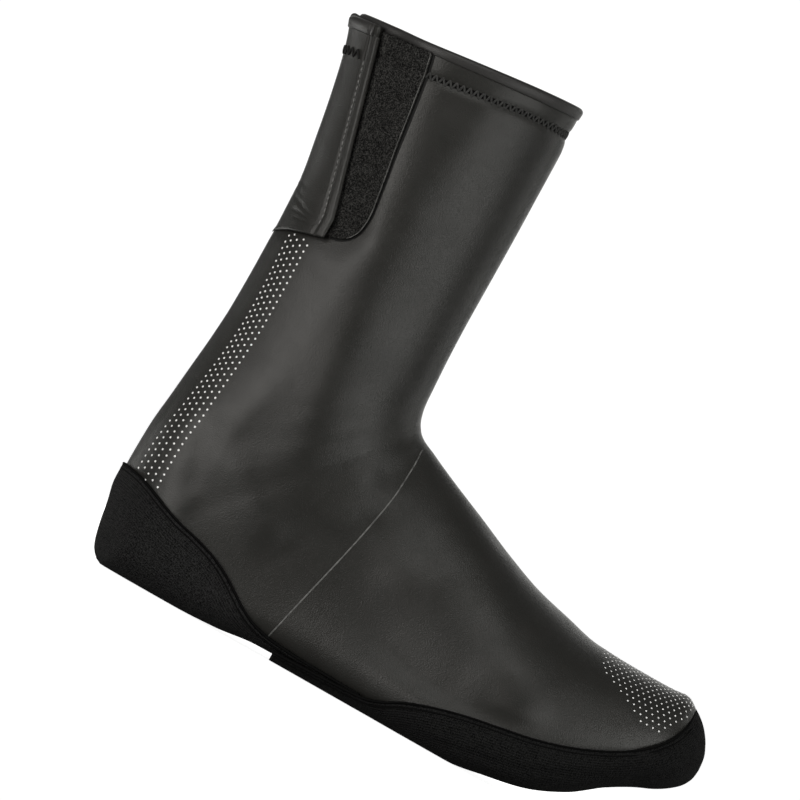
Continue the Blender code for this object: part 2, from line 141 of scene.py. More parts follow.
def cubic(at, values, slope, where):
    i = np.clip(np.searchsorted(at, where) - 1, 0, len(at) - 2)
    step = at[i + 1] - at[i]
    u = (where - at[i]) / step
    level = values[i] * (2 * u**3 - 3 * u**2 + 1) + values[i + 1] * (3 * u**2 - 2 * u**3)
    return level + step * (slope[i] * (u**3 - 2 * u**2 + u) + slope[i + 1] * (u**3 - u**2))


under = np.hypot(np.diff(table["bx"]), np.diff(table["bz"]))
over = np.hypot(np.diff(table["tx"]), np.diff(table["tz"]))
along = np.concatenate(([0.0], np.cumsum(0.5 * (under + over))))
slopes = {name: slopesOf(along, table[name]) for name in names}
collarAt = along[-1]


def sectionAt(at):
    at = np.atleast_1d(np.asarray(at, float))
    return {name: cubic(along, table[name], slopes[name], at) for name in names}


def halfLines(row, side):  # each half section as a fine line from below to the top, side -1 is the outer half
    pick = {name: row[name][:, None] for name in names}
    rise = np.hypot(pick["tx"] - pick["bx"], pick["tz"] - pick["bz"])
    fit = np.minimum(1.0, 0.98 * rise / (pick["low"] + pick["high"]))
    low, high = fit * pick["low"], fit * pick["high"]
    wide = pick["half"]
    neck, flat, top = pick["neck"] * wide, pick["flat"] * wide, side * pick["ridge"]
    turn = np.linspace(0.0, 0.5 * math.pi, form["turnSteps"])[None, :]
    climb = np.linspace(0.0, 1.0, form["climbSteps"])[None, 1:-1]
    floor = np.linspace(0.0, 1.0, form["floorSteps"])[None, :-1]
    out = np.concatenate((
        flat * floor,
        flat + (wide - flat) * np.sin(turn),
        wide + (neck - wide) * ease(0.0, 1.0, climb),
        top + (neck - top) * np.cos(turn),
    ), axis=1)
    up = np.concatenate((
        np.zeros_like(flat * floor),
        low * (1.0 - np.cos(turn)),
        low + (rise - high - low) * climb,
        rise - high + high * np.sin(turn),
    ), axis=1)
    share = up / rise
    lines = np.stack((
        pick["bx"] + (pick["tx"] - pick["bx"]) * share,
        pick["mid"] + side * out,
        pick["bz"] + (pick["tz"] - pick["bz"]) * share,
    ), axis=2)
    steps = np.linalg.norm(np.diff(lines, axis=1), axis=2)
    lengths = np.concatenate((np.zeros((len(lines), 1)), np.cumsum(steps, axis=1)), axis=1)
    return lines, lengths, flat[:, 0], share


def pickRows(lines, lengths, arcs):
    found = np.empty(arcs.shape + (3,))
    for r in range(len(lines)):
        for k in range(3):
            found[r, ..., k] = np.interp(arcs[r], lengths[r], lines[r, :, k])
    return found


def surface(at, side, arc):
    lines, lengths, _, _ = halfLines(sectionAt(at), side)
    return pickRows(lines, lengths, np.asarray(arc, float))


def surfaceNormal(at, side, arc, step=0.4):
    up = surface(at, side, arc + step) - surface(at, side, arc - step)
    back = surface(np.minimum(at + step, collarAt), side, arc) - surface(at - step, side, arc)
    return unit(-side * np.cross(up, back))


def fromSide(x, z, side):  # station and arc of the points seen at x, z from the side
    x, z = np.asarray(x, float), np.asarray(z, float)
    low, high = np.zeros(len(x)), np.full(len(x), collarAt)
    for _ in range(44):  # halvings
        at = 0.5 * (low + high)
        row = sectionAt(at)
        ahead = (row["tx"] - row["bx"]) * (z - row["bz"]) - (row["tz"] - row["bz"]) * (x - row["bx"])
        low, high = np.where(ahead > 0.0, at, low), np.where(ahead > 0.0, high, at)
    row = sectionAt(at)
    dx, dz = row["tx"] - row["bx"], row["tz"] - row["bz"]
    share = ((x - row["bx"]) * dx + (z - row["bz"]) * dz) / (dx**2 + dz**2)
    _, lengths, _, shares = halfLines(row, side)
    arc = np.array([np.interp(s, shares[i], lengths[i]) for i, s in enumerate(np.clip(share, 0.0, 1.0))])
    return at, arc


def curveThrough(at, values, where):
    return cubic(at, values, slopesOf(at, values), where)


def smoothCurve(points, count):  # even points on a smooth curve through a few
    points = np.asarray(points, float)
    at = runLength(points)
    where = np.linspace(0.0, at[-1], count)
    return np.stack([curveThrough(at, column, where) for column in points.T], axis=1)


def gridNormals(grid):
    return unit(np.cross(np.gradient(grid, axis=1), np.gradient(grid, axis=0)))


def gridFaces(rows, columns, wrap=False):
    r, c = np.meshgrid(np.arange(rows - 1), np.arange(columns if wrap else columns - 1), indexing="ij")
    d = (c + 1) % columns
    low, high = r * columns, (r + 1) * columns
    return np.stack((low + c, low + d, high + d, high + c), axis=-1).reshape(-1, 4).tolist()


def makePiece(name, shape, finish, stands="", inside=None, uv=None, weld=0.0, fixSides=True):
    points, faces = shape
    mesh = bpy.data.meshes.new(name)
    mesh.from_pydata(((np.asarray(points) + shift) * mm).tolist(), [], faces)
    if uv is not None:
        layer = mesh.uv_layers.new(name="lay")
        corner = np.empty(len(mesh.loops), int)
        mesh.loops.foreach_get("vertex_index", corner)
        layer.data.foreach_set("uv", (np.asarray(uv)[corner] * mm).ravel())
    if weld or fixSides:
        work = bmesh.new()
        work.from_mesh(mesh)
        if weld:
            bmesh.ops.remove_doubles(work, verts=work.verts, dist=weld * mm)
        if fixSides:
            bmesh.ops.recalc_face_normals(work, faces=work.faces)
        work.to_mesh(mesh)
        work.free()
    mesh.shade_smooth()
    piece = bpy.data.objects.new(name, mesh)
    bpy.context.scene.collection.objects.link(piece)
    for some in (finish, inside) if inside else (finish,):
        mesh.materials.append(some)
    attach(piece, "root")
    if stands:
        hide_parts(stands)
    return piece


def thicken(piece, thickness):
    shell = piece.modifiers.new("wall", "SOLIDIFY")
    shell.thickness = thickness * mm
    shell.offset = -1.0
    shell.use_even_offset = True
    return shell


def tubeFaces(rings, count, capped=True):  # rings of count points each, with a face over both ends
    faces = gridFaces(rings, count, True)
    if capped:
        last = (rings - 1) * count
        faces += [list(range(count - 1, -1, -1)), list(range(last, last + count))]
    return faces


# A profile swept along a path: first number across the path, second off the surface
def sweep(path, normals, profile, closed=False):
    if closed:
        way = np.roll(path, -1, axis=0) - np.roll(path, 1, axis=0)
    else:
        way = np.gradient(path, axis=0)
    across = unit(np.cross(normals, way))
    profile = np.asarray(profile, float)
    points = path[:, None] + profile[None, :, :1] * across[:, None] + profile[None, :, 1:] * normals[:, None]
    if closed:
        points = np.concatenate((points, points[:1]))
    return points.reshape(-1, 3), tubeFaces(len(points), len(profile), not closed)


def ringProfile(wide, high, sides, lift=0.0):
    turn = np.arange(sides) * 2.0 * math.pi / sides
    return np.stack((0.5 * wide * np.cos(turn), lift + 0.5 * high * np.sin(turn)), axis=1)


def joinParts(parts):
    points, faces, start = [], [], 0
    for some, those in parts:
        points.append(np.asarray(some))
        faces += [[i + start for i in face] for face in those]
        start += len(some)
    return np.concatenate(points), faces


def closedShell(outside, inside, closeTop):  # two grids back to back, joined at their edges
    number = np.arange(outside.shape[0] * outside.shape[1]).reshape(outside.shape[:2])
    faces = gridFaces(*number.shape)
    faces += [[i + number.size for i in face[::-1]] for face in faces]
    for edge in (number[:, 0], number[-1]) if closeTop else (number[:, 0],):
        faces += [[a, b, b + number.size, a + number.size] for a, b in zip(edge.tolist(), edge.tolist()[1:])]
    return np.concatenate((outside.reshape(-1, 3), inside.reshape(-1, 3))), faces


def blend(where, at, values):
    return np.stack([np.interp(where, at, column) for column in values.T], axis=1)


def onPath(path, normals, where):  # places and normals at these lengths along a path
    at = runLength(path)
    return blend(where, at, path), unit(blend(where, at, normals))


def evenPath(path, normals, spacing, closed=False):
    if closed:
        path, normals = np.concatenate((path, path[:1])), np.concatenate((normals, normals[:1]))
    length = runLength(path)[-1]
    where = np.linspace(0.0, length, max(8, int(length / spacing)))
    return onPath(path, normals, where[:-1] if closed else where)


def softened(path, rounds, closed=False):
    path = np.array(path)
    for _ in range(rounds):
        if closed:
            path = 0.5 * path + 0.25 * (np.roll(path, 1, axis=0) + np.roll(path, -1, axis=0))
        else:
            path[1:-1] = 0.5 * path[1:-1] + 0.25 * (path[:-2] + path[2:])
    return path


# Finishes: numbers go on a node's own sockets, outputs of other nodes are linked to them
def feed(kit, node, values):
    for key, value in values.items():
        if isinstance(value, bpy.types.NodeSocket):
            kit.links.new(value, node.inputs[key])
        else:
            node.inputs[key].default_value = value


def addNode(kit, kind, output, values, **settings):
    node = kit.nodes.new("ShaderNode" + kind)
    for key, value in settings.items():
        setattr(node, key, value)
    feed(kit, node, values)
    return node.outputs[output]


def startFinish(name):
    finish = bpy.data.materials.new(name)
    finish.use_nodes = True
    nodes, links = finish.node_tree.nodes, finish.node_tree.links
    place = nodes.new("ShaderNodeTexCoord").outputs
    shader = nodes["Principled BSDF"]
    return SimpleNamespace(finish=finish, nodes=nodes, links=links, shader=shader, place=place)


def noiseNode(kit, size, detail=3.0, rough=0.55):
    return addNode(kit, "TexNoise", "Fac", {"Vector": kit.place["Object"], "Scale": 1.0 / (size * mm),
                                            "Detail": detail, "Roughness": rough})


def toneNode(kit, source, dark, light, start=0.3, end=0.7):
    tone = kit.nodes.new("ShaderNodeValToRGB")
    for stop, position, colour in zip(tone.color_ramp.elements, (start, end), (dark, light)):
        stop.position, stop.color = position, (*colour, 1.0)
    feed(kit, tone, {"Fac": source})
    return tone.outputs["Color"]


def rangeNode(kit, source, low, high, start=0.3, end=0.7):
    return addNode(kit, "MapRange", "Result", {"Value": source, "From Min": start, "From Max": end,
                                               "To Min": low, "To Max": high})


def bumpNode(kit, source, depth, before=None):
    below = {} if before is None else {"Normal": before}
    return addNode(kit, "Bump", "Normal", {"Height": source, "Distance": depth * mm, **below})


def bandsNode(kit, pitch, direction):  # ribs across the lay of a piece
    return addNode(kit, "TexWave", "Fac", {"Vector": kit.place["UV"], "Scale": math.pi / (10.0 * pitch * mm),
                                           "Distortion": 0.6, "Detail": 1.0}, bands_direction=direction)


def mathNode(kit, kind, first, second):
    return addNode(kit, "Math", 0, {0: first, 1: second}, operation=kind)


def coatedFinish(name, look):  # satin coated neoprene: fine grain, cloudy tone, uneven gloss
    kit = startFinish(name)
    swell = bumpNode(kit, noiseNode(kit, look["swell"], 2.0), look["swellDepth"])
    feed(kit, kit.shader, {
        "Base Color": toneNode(kit, noiseNode(kit, look["cloud"]), look["dark"], look["light"]),
        "Roughness": rangeNode(kit, noiseNode(kit, look["glossCloud"], 4.0), *look["rough"]),
        "Normal": bumpNode(kit, noiseNode(kit, look["grain"], 2.0, 0.6), look["grainDepth"], swell),
        "Specular IOR Level": look["shine"],
    })
    return kit.finish


def knitFinish(name, look):  # black knit with ribs along its edge, finer ones across and a short fuzz
    kit = startFinish(name)
    fuzz = rangeNode(kit, noiseNode(kit, look["fuzz"], 2.0, 0.6), 0.0, 1.0, *look["fuzzSpan"])
    fromEdge = addNode(kit, "SeparateXYZ", "Y", {0: kit.place["UV"]})
    fade = rangeNode(kit, fromEdge, 1.0, look["ribRest"], look["ribFull"] * mm, look["ribReach"] * mm)
    ribs = mathNode(kit, "MULTIPLY", bandsNode(kit, look["ribPitch"], "Y"), fade)
    cross = bandsNode(kit, look["crossPitch"], "X")
    weave = mathNode(kit, "ADD", mathNode(kit, "MULTIPLY", ribs, cross), fuzz)
    normal = bumpNode(kit, ribs, look["ribDepth"])
    normal = bumpNode(kit, cross, look["crossDepth"], normal)
    feed(kit, kit.shader, {
        "Base Color": toneNode(kit, weave, look["dark"], look["light"], *look["weaveSpan"]),
        "Roughness": look["rough"],
        "Normal": bumpNode(kit, fuzz, look["fuzzDepth"], normal),
        "Specular IOR Level": look["shine"],
    })
    return kit.finish


def plainFinish(name, look):  # threads, lining, pile and print: speckled tone and a small grain
    kit = startFinish(name)
    speck = noiseNode(kit, look["speck"], 2.0)
    feed(kit, kit.shader, {
        "Base Color": toneNode(kit, speck, look["dark"], look["light"], *look.get("span", (0.3, 0.7))),
        "Roughness": look["rough"],
        "Normal": bumpNode(kit, speck, look["depth"]),
        "Specular IOR Level": look["shine"],
    })
    return kit.finish


def grey(level):
    return (level, level, level)


coatedLook = {
    "dark": (0.0120, 0.0118, 0.0108), "light": (0.0160, 0.0156, 0.0143), "cloud": 30.0,
    "rough": (0.31, 0.39), "glossCloud": 9.0, "shine": 0.22,
    "grain": 0.60, "grainDepth": 0.18, "swell": 9.0, "swellDepth": 0.12,
}
coated = coatedFinish("coated_neoprene", coatedLook)
rolled = coatedFinish("rolled_edge", dict(
    coatedLook, dark=(0.018, 0.0175, 0.017), light=(0.024, 0.0232, 0.0226), rough=(0.36, 0.44)))
knitLook = {
    "dark": grey(0.0018), "light": grey(0.0165), "rough": 0.85, "shine": 0.05, "weaveSpan": (0.05, 1.25),
    "fuzz": 0.60, "fuzzDepth": 0.18, "fuzzSpan": (0.36, 0.64), "crossPitch": 0.95, "crossDepth": 0.08,
    "ribPitch": 1.15, "ribDepth": 0.45, "ribFull": 4.0, "ribReach": 14.0, "ribRest": 0.25,
}
counterKnit = knitFinish("heel_knit", knitLook)
randKnit = knitFinish("toe_knit", dict(
    knitLook, dark=grey(0.0010), light=grey(0.0100), ribDepth=0.35, ribReach=24.0, ribRest=0.45,
    crossPitch=1.0))
lining = plainFinish("jersey_lining", {
    "dark": grey(0.010), "light": grey(0.020), "speck": 0.7, "depth": 0.12, "rough": 0.9, "shine": 0.2})
pile = plainFinish("loop_pile", {
    "dark": grey(0.0012), "light": (0.0390, 0.0385, 0.0367), "span": (0.42, 0.66), "speck": 0.62,
    "depth": 0.24, "rough": 0.8, "shine": 0.08})
blackLook = {"dark": grey(0.0040), "light": (0.0110, 0.0110, 0.0108), "speck": 0.3, "depth": 0.05,
             "rough": 0.8, "shine": 0.12}
blackThread = plainFinish("black_thread", blackLook)
# hem thread, darker and duller than the black thread: its darkness is painted shade along the hem's edge
hemShadeThread = plainFinish("hem_thread_painted_shade", dict(blackLook, dark=grey(0.0012), light=grey(0.0040), shine=0.03))
# zigzag thread, mottled dark and light: its light specks are painted glints of a twisted thread
zigzagGlintThread = plainFinish("zigzag_thread_painted_glints", dict(
    blackLook, dark=(0.005, 0.005, 0.0048), light=(0.030, 0.030, 0.0288), speck=0.6, shine=0.30))
greyLook = {"dark": (0.06, 0.06, 0.058), "light": (0.11, 0.11, 0.107), "speck": 0.5, "depth": 0.05,
            "rough": 0.6, "shine": 0.4}
greyThread = plainFinish("grey_thread", greyLook)
# pale thread for the instep seam and the tape's edge line: its paleness is a painted glint
glintSeamThread = plainFinish("seam_thread_painted_glint", dict(
    greyLook, dark=(0.030, 0.030, 0.029), light=(0.100, 0.100, 0.096), speck=2.2))
dotPrint = plainFinish("dot_print", {
    "dark": grey(0.62), "light": grey(0.75), "speck": 0.4, "depth": 0.02, "rough": 0.5, "shine": 0.5})
print("finishes made")


# Upper: the outer wall dips under the flap, and soft troughs and ridges lie where the cloth gives
slit = {"foot": 166.0, "open": 176.0, "gap": 5.3}
dip = {"depth": 4.4, "from": 162.0, "full": 184.0, "lead": 5.0, "fade": 22.0, "across": 0.5}
flapEdge = {"low": (28.6, 182.6), "top": (5.0, 268.1)}
zigzag = {
    "line": ((-9, 251), (10, 254.2), (37.1, 258.4), (61.8, 262.1), (81.7, 264.8), (98.7, 265.9), (103, 266)),
    "pitch": 3.2, "high": 3.6, "thread": 1.05, "lift": (0.12, 0.22), "strip": 3.9,
    "groove": 1.0, "grooveWide": 2.4, "backX": (31.0, -2.5), "spacing": 0.4, "flapPitch": 1.6,
    "flapRow": 0.90, "flapColumns": slice(10, 45),
}
knitEdges = {
    "counter": ((-20, 44.4), (0.8, 43.8), (7.9, 42.9), (15.1, 40.8), (24.9, 37), (35.2, 33.5), (44.8, 31.2),
                (54.8, 28), (63.2, 23.9), (71, 18.9), (77.8, 14.4), (85.8, 10.4), (94, 8.4), (112, 7),
                (130, 6.6), (140, 6.5)),
    "rand": ((80, 4.2), (98.4, 4.2), (125, 5), (142, 6), (150, 8.6), (158.1, 13), (171.8, 18.1),
             (186.3, 21.8), (201.2, 24.6), (216.3, 27.4), (230.5, 31.4), (243.9, 36.7), (252.5, 41.1),
             (260.7, 46.6), (267.8, 53.4), (272.4, 60.4), (274.2, 67), (274.3, 90)),
}
fullness = {"toe": 1.0, "toeAt": 270.0, "toeWide": 5.0, "toeAbove": (62.0, 72.0),
            "heel": 0.9, "heelAt": 34.0, "heelWide": 6.0, "heelFade": (8.0, 26.0)}
# side, rise (below 0 a trough), half width, line x z seen from the side
# a line of over two points fades at its ends, and all fade towards the knit and the middle of the shoe
foldFade = {"ends": 0.3, "aboveKnit": (1.0, 9.0), "side": (2.0, 16.0)}
folds = (
    (-1, 2.1, 14, ((63, 300), (61, 262), (58.5, 235), (55, 205), (55, 166), (60, 133),
                   (66, 105), (76, 80), (86, 62))),
    (-1, 1.8, 12, ((38, 300), (38, 262), (40, 235), (46, 205), (50, 180))),
    (-1, -1.5, 14, ((29, 196), (28, 162), (27, 130), (26, 100), (26, 80), (30, 52))),
    (-1, 2.2, 20, ((61, 108), (63, 84))),
    (-1, -0.9, 6, ((114, 104), (104, 97))),
    (-1, 0.9, 12, ((78, 140), (86, 112), (97, 84), (106, 66))),
    (-1, 2.2, 10, ((36, 79), (44, 67), (53, 59.5), (64, 52), (82, 43))),
    (-1, -1.3, 7, ((25, 76), (31, 52))),
    (-1, -1.2, 10, ((70, 56), (84, 57), (94, 63), (106, 75), (113, 87))),
    (-1, 2, 13, ((114, 52), (130, 60), (144, 67), (154, 82), (159, 102))),
    (-1, -0.5, 14, ((174, 54), (180, 36))),
    (-1, 2, 14, ((196, 46), (202, 38))),
    (1, 1.4, 14, ((44, 230), (54, 165), (60, 122))),
    (1, 1.4, 9, ((36, 72), (54, 54))),
    (1, -1.4, 11, ((62, 66), (90, 70))),
    (1, -1.1, 5, ((112, 104), (100, 96))),
    (1, 1.3, 12, ((126, 82), (150, 68))),
    (1, -1.2, 11, ((146, 46), (176, 40))),
)


def fromLine(x, z, line):  # distance from a line seen from the side, share of it passed, distance below it
    best, passed, below = np.full(x.shape, 1e9), np.zeros(x.shape), np.zeros(x.shape)
    reach = runLength(np.array(line))
    for i, ((x0, z0), (x1, z1)) in enumerate(zip(line[:-1], line[1:])):
        run = np.array([x1 - x0, z1 - z0])
        share = np.clip(((x - x0) * run[0] + (z - z0) * run[1]) / (run @ run), 0.0, 1.0)
        dx, dz = x - x0 - share * run[0], z - z0 - share * run[1]
        far = np.hypot(dx, dz)
        near = far < best - 1e-9
        passed = np.where(near, (reach[i] + share * (reach[i + 1] - reach[i])) / reach[-1], passed)
        below = np.where(near, np.where(run[0] * dz - run[1] * dx < 0.0, far, -far), below)
        best = np.minimum(best, far)
    return best, passed, below


def slitWidth(height):
    return slit["gap"] * np.clip((height - slit["foot"]) / (slit["open"] - slit["foot"]), 0.0, 1.0)


def flapEdgeX(height):
    lean = (flapEdge["top"][0] - flapEdge["low"][0]) / (flapEdge["top"][1] - flapEdge["low"][1])
    return flapEdge["low"][0] + lean * (np.maximum(height, flapEdge["low"][1]) - flapEdge["low"][1])


def zigzagZ(x):
    return curveThrough(*np.array(zigzag["line"]).T, x)


def dipOf(places):
    x, y, z = np.moveaxis(places, -1, 0)
    depth = dip["depth"] * ease(dip["from"], dip["full"], z)
    ahead = 1.0 - ease(dip["lead"], dip["fade"], x - flapEdgeX(z))
    return np.where(y < dip["across"], -depth * ahead, 0.0)


def foldRise(places):
    x, y, z = np.moveaxis(places, -1, 0)
    counterZ, randZ = (np.interp(x, *np.array(knitEdges[name]).T) for name in ("counter", "rand"))
    above = z - np.where(x < knitEdges["counter"][-1][0], counterZ, randZ)
    rise = np.zeros(x.shape)
    for side, high, wide, line in folds:
        far, passed, _ = fromLine(x, z, line)
        full = ease(0.0, foldFade["ends"], np.minimum(passed, 1.0 - passed)) if len(line) > 2 else 1.0
        rise = rise + high * full * hump(far, wide) * ease(*foldFade["side"], side * y)
    return rise * ease(*foldFade["aboveKnit"], above)


def wallOffset(places):
    x, _, z = np.moveaxis(places, -1, 0)
    groove = zigzag["groove"] * hump(z - zigzagZ(x), zigzag["grooveWide"])
    toe = fullness["toe"] * hump(x - fullness["toeAt"], fullness["toeWide"]) * ease(*fullness["toeAbove"], z)
    return dipOf(places) + foldRise(places) - groove + toe


def onWall(at, side, arc, lift=0.0):  # a place on the upper's outer face, and the way off it
    base = surface(at, side, arc)
    normals = surfaceNormal(at, side, arc)
    return base + normals * (wallOffset(base) + lift)[:, None], normals


upperGrid = {"rows": 236, "collarRows": 26, "collarReach": 18.0, "columns": 80}
stations = np.concatenate((
    np.linspace(0.0, collarAt - upperGrid["collarReach"], upperGrid["rows"]),
    np.linspace(collarAt - upperGrid["collarReach"], collarAt, upperGrid["collarRows"] + 1)[1:],
))
halves = []
for side in (-1, 1):
    row = sectionAt(stations)
    lines, lengths, flat, _ = halfLines(row, side)
    start = np.maximum(flat, slitWidth(row["bz"])) if side > 0 else flat
    share = np.linspace(0.0, 1.0, upperGrid["columns"] + 1)
    halves.append(pickRows(lines, lengths, start[:, None] + (lengths[:, -1] - start)[:, None] * share))
wall = np.concatenate((halves[0], halves[1][:, ::-1][:, 1:]), axis=1)
wallNormals = gridNormals(wall)
wallNormals[0] = (1.0, 0.0, 0.0)
wall = wall + wallNormals * wallOffset(wall)[..., None]
upper = makePiece("upper_shell", (wall.reshape(-1, 3), gridFaces(*wall.shape[:2])), coated,
                  "upper", inside=lining, weld=0.03, fixSides=False)
thicken(upper, form["wall"]).material_offset = 1
print("upper made")


# Knit soles: cut from the grown form along their edges, with a turned hem
sole = {"knit": 1.2, "seat": 0.3, "rearStart": 170.0, "rearRows": 6, "rearEnd": 140.0, "lapEnd": 158.0,
        "frontEnd": 70.0, "level": (85.0, 175.0), "step": 98.4, "stepThick": 3.0, "stepFade": 40.0,
        "stepHigh": 0.2, "rowStep": 1.3, "floorColumns": 22, "wallColumns": 84, "wallReach": 96.0,
        "flush": 0.55, "flushAbove": (56.0, 71.0), "flushAhead": (255.0, 266.0), "floorHigh": 16.0,
        "farOff": 50.0, "heelCut": (22.0, 52.0, 16.0, 10.0), "cleatCut": (153.0, 203.0, 25.0, 14.0)}
# depth, half width, line x z of the creases in the rand
randCreases = (
    (1.2, 1.5, ((262.0, 33.0), (270.0, 38.2), (277.0, 45.5), (283.0, 52.0))),
    (0.6, 1.6, ((177.0, 5.4), (218.0, 13.3), (250.5, 28.0))),
    (0.9, 1.3, ((275.0, 62.5), (283.0, 58.5))),
)
hem = {"wide": 0.8, "proud": 0.35, "under": 1.0, "sunk": 0.3, "lineIn": 2.3, "line": 0.6, "lineHigh": 0.4,
       "lineLift": 0.1, "sides": 8, "cutWide": 2.0, "cutHigh": 1.5, "cutSides": 10,
       "spacing": 1.1, "cutSpacing": 1.2}


def rearGrowth(x, z):
    heel = hump(z - fullness["heelAt"], fullness["heelWide"]) * (1.0 - ease(*fullness["heelFade"], x))
    return sole["knit"] + sole["seat"] + fullness["heel"] * heel


def toeFlush(x, z):  # the rand lies flush over the top of the toe
    return ease(*sole["flushAbove"], z) * ease(*sole["flushAhead"], x)


def frontGrowth(x, z=0.0):
    full = (sole["knit"] + sole["seat"]) * (2.0 - ease(sole["rearEnd"], sole["lapEnd"], x))
    crease = sum(deep * hump(fromLine(x, z, line)[0], wide) for deep, wide, line in randCreases)
    return full * (1.0 - sole["flush"] * toeFlush(x, z)) - crease


def soleGrid(first, last, growth, level):
    at = np.linspace(first, last, int((last - first) / sole["rowStep"]))
    row = sectionAt(at)
    if level:
        lap = (row["bx"] > sole["level"][0]) & (row["bx"] < sole["level"][1])
        row["bz"] = np.where(lap, np.minimum(row["bz"], growth(row["bx"])), row["bz"])
    halves = []
    for side in (-1, 1):
        lines, lengths, flat, _ = halfLines(row, side)
        floor = flat[:, None] * np.linspace(0.0, 1.0, sole["floorColumns"] + 1)[:-1]
        reach = np.minimum(lengths[:, -1] - flat, sole["wallReach"])[:, None]
        rest = flat[:, None] + reach * np.linspace(0.0, 1.0, sole["wallColumns"] + 1)
        halves.append(pickRows(lines, lengths, np.concatenate((floor, rest), axis=1)))
    grid = np.concatenate((halves[0], halves[1][:, ::-1]), axis=1)
    normals = gridNormals(grid)
    bottom = unit(normals[:, 1] + normals[:, -2])
    normals[:, 0], normals[:, -1] = bottom, bottom
    if first == 0.0:  # tip of the toe
        normals[0] = (1.0, 0.0, 0.0)
    return grid + normals * growth(grid[..., 0], grid[..., 2])[..., None], normals


def clipFaces(points, normals, faces, keep):  # keeps what is above 0, and gives the cut's edges
    points, normals = list(points), list(normals)
    made, kept, cuts = {}, [], []
    for face in faces:
        inside = [keep[i] > 0.0 for i in face]
        if all(inside):
            kept.append(face)
        elif any(inside):
            outline, ends = [], []
            for i, a in enumerate(face):
                b = face[(i + 1) % len(face)]
                if keep[a] > 0.0:
                    outline.append(a)
                if (keep[a] > 0.0) != (keep[b] > 0.0):
                    key = (min(a, b), max(a, b))
                    if key not in made:
                        share = keep[key[0]] / (keep[key[0]] - keep[key[1]])
                        made[key] = len(points)
                        points.append(points[key[0]] + share * (points[key[1]] - points[key[0]]))
                        normals.append(normals[key[0]] + share * (normals[key[1]] - normals[key[0]]))
                    outline.append(made[key])
                    ends.append(made[key])
            kept.append(outline)
            if len(ends) == 2:
                cuts.append(ends)
    return np.array(points), unit(np.array(normals)), kept, cuts


def chainOf(points, cuts):  # the longest run of cut edges, as places in order
    spots, near = {}, {}
    for pair in cuts:
        a, b = (spots.setdefault(tuple(np.round(points[i], 3)), i) for i in pair)
        if a != b:
            near.setdefault(a, []).append(b)
            near.setdefault(b, []).append(a)
    best, left = [], set(near)
    while left:
        ends = [i for i in left if len(near[i]) == 1]
        now = ends[0] if ends else next(iter(left))
        run = []
        while now is not None:
            run.append(now)
            left.discard(now)
            now = next((i for i in near[now] if i in left), None)
        if len(run) > len(best):
            best = run
    return best


def cutDistance(points, cut):  # distance outside a rounded cut-out in the floor of the sole
    start, end, half, corner = cut
    x = np.abs(points[:, 0] - 0.5 * (start + end)) - 0.5 * (end - start) + corner
    y = np.abs(points[:, 1]) - half + corner
    outside = np.hypot(np.maximum(x, 0.0), np.maximum(y, 0.0)) + np.minimum(np.maximum(x, y), 0.0) - corner
    return np.where(points[:, 2] < sole["floorHigh"], outside, sole["farOff"])


def nearestOn(points, path):  # distance from each point to a path, and how far along it that is
    at = runLength(path)
    far, where = np.empty(len(points)), np.empty(len(points))
    for start in range(0, len(points), 2000):
        gap = np.linalg.norm(points[start:start + 2000, None] - path[None], axis=2)
        near = gap.argmin(axis=1)
        far[start:start + 2000] = gap[np.arange(len(near)), near]
        where[start:start + 2000] = at[near]
    return far, where


def hemStrip(path, normals, inward):
    wide, high, low = hem["wide"], hem["proud"], -hem["under"]
    profile = ((-0.15, low), (-0.35, -0.2), (-0.2, 0.3), (0.25, 0.9 * high), (0.5 * wide, high),
               (wide - 0.5, 0.75 * high), (wide, 0.05), (wide - 0.3, low))
    return sweep(path, normals, [(inward * a, b) for a, b in profile])


def makeSole(name, node, first, last, growth, level, edge, limit, cut, finish):
    grid, normals = soleGrid(first, last, growth, level)
    points, normals = grid.reshape(-1, 3), normals.reshape(-1, 3)
    faces = gridFaces(*grid.shape[:2])
    ahead = points[:, 0] - limit if level else limit - points[:, 0]
    points, normals, faces, _ = clipFaces(points, normals, faces, ahead)
    points, normals, faces, around = clipFaces(points, normals, faces, cutDistance(points, cut))
    below = fromLine(points[:, 0], points[:, 2], smoothCurve(edge, 160))[2]
    points, normals, faces, top = clipFaces(points, normals, faces, below)
    edgeRun, cutRun = chainOf(points, top), chainOf(points, around)
    edge = evenPath(softened(points[edgeRun], 3), normals[edgeRun], hem["spacing"])
    opening = evenPath(softened(points[cutRun], 3, True), normals[cutRun], hem["cutSpacing"], True)
    used = sorted({i for face in faces for i in face})
    place = {old: new for new, old in enumerate(used)}
    faces = [[place[i] for i in face] for face in faces]
    far, where = nearestOn(points[used], edge[0])
    piece = makePiece(name, (points[used], faces), finish, node,
                      uv=np.stack((where, far), axis=1), weld=0.02, fixSides=False)
    return piece, thicken(piece, sole["knit"]), edge, opening


def inwardOf(path, normals, centre):  # +1 where the sweep's across points away from the edge, towards centre
    quarter = len(path) // 4
    across = np.cross(normals, np.gradient(path, axis=0))[quarter]
    return 1.0 if across @ (np.asarray(centre) - path[quarter]) > 0.0 else -1.0


def stationUnder(x):  # station at which the line under the sole has this x
    heelRow = form["heelRow"]
    return float(np.interp(-x, -table["bx"][:heelRow], along[:heelRow]))


_, _, rearEdge, rearCut = makeSole(
    "rear_sole_knit", "sole_rear", stationUnder(sole["rearStart"]), along[form["heelRow"] + sole["rearRows"]],
    rearGrowth, False, knitEdges["counter"], sole["rearEnd"], sole["heelCut"], counterKnit)
frontSole, frontShell, frontEdge, frontCut = makeSole(
    "front_sole_knit", "sole_front", 0.0, stationUnder(sole["frontEnd"]),
    frontGrowth, True, knitEdges["rand"], sole["step"], sole["cleatCut"], randKnit)

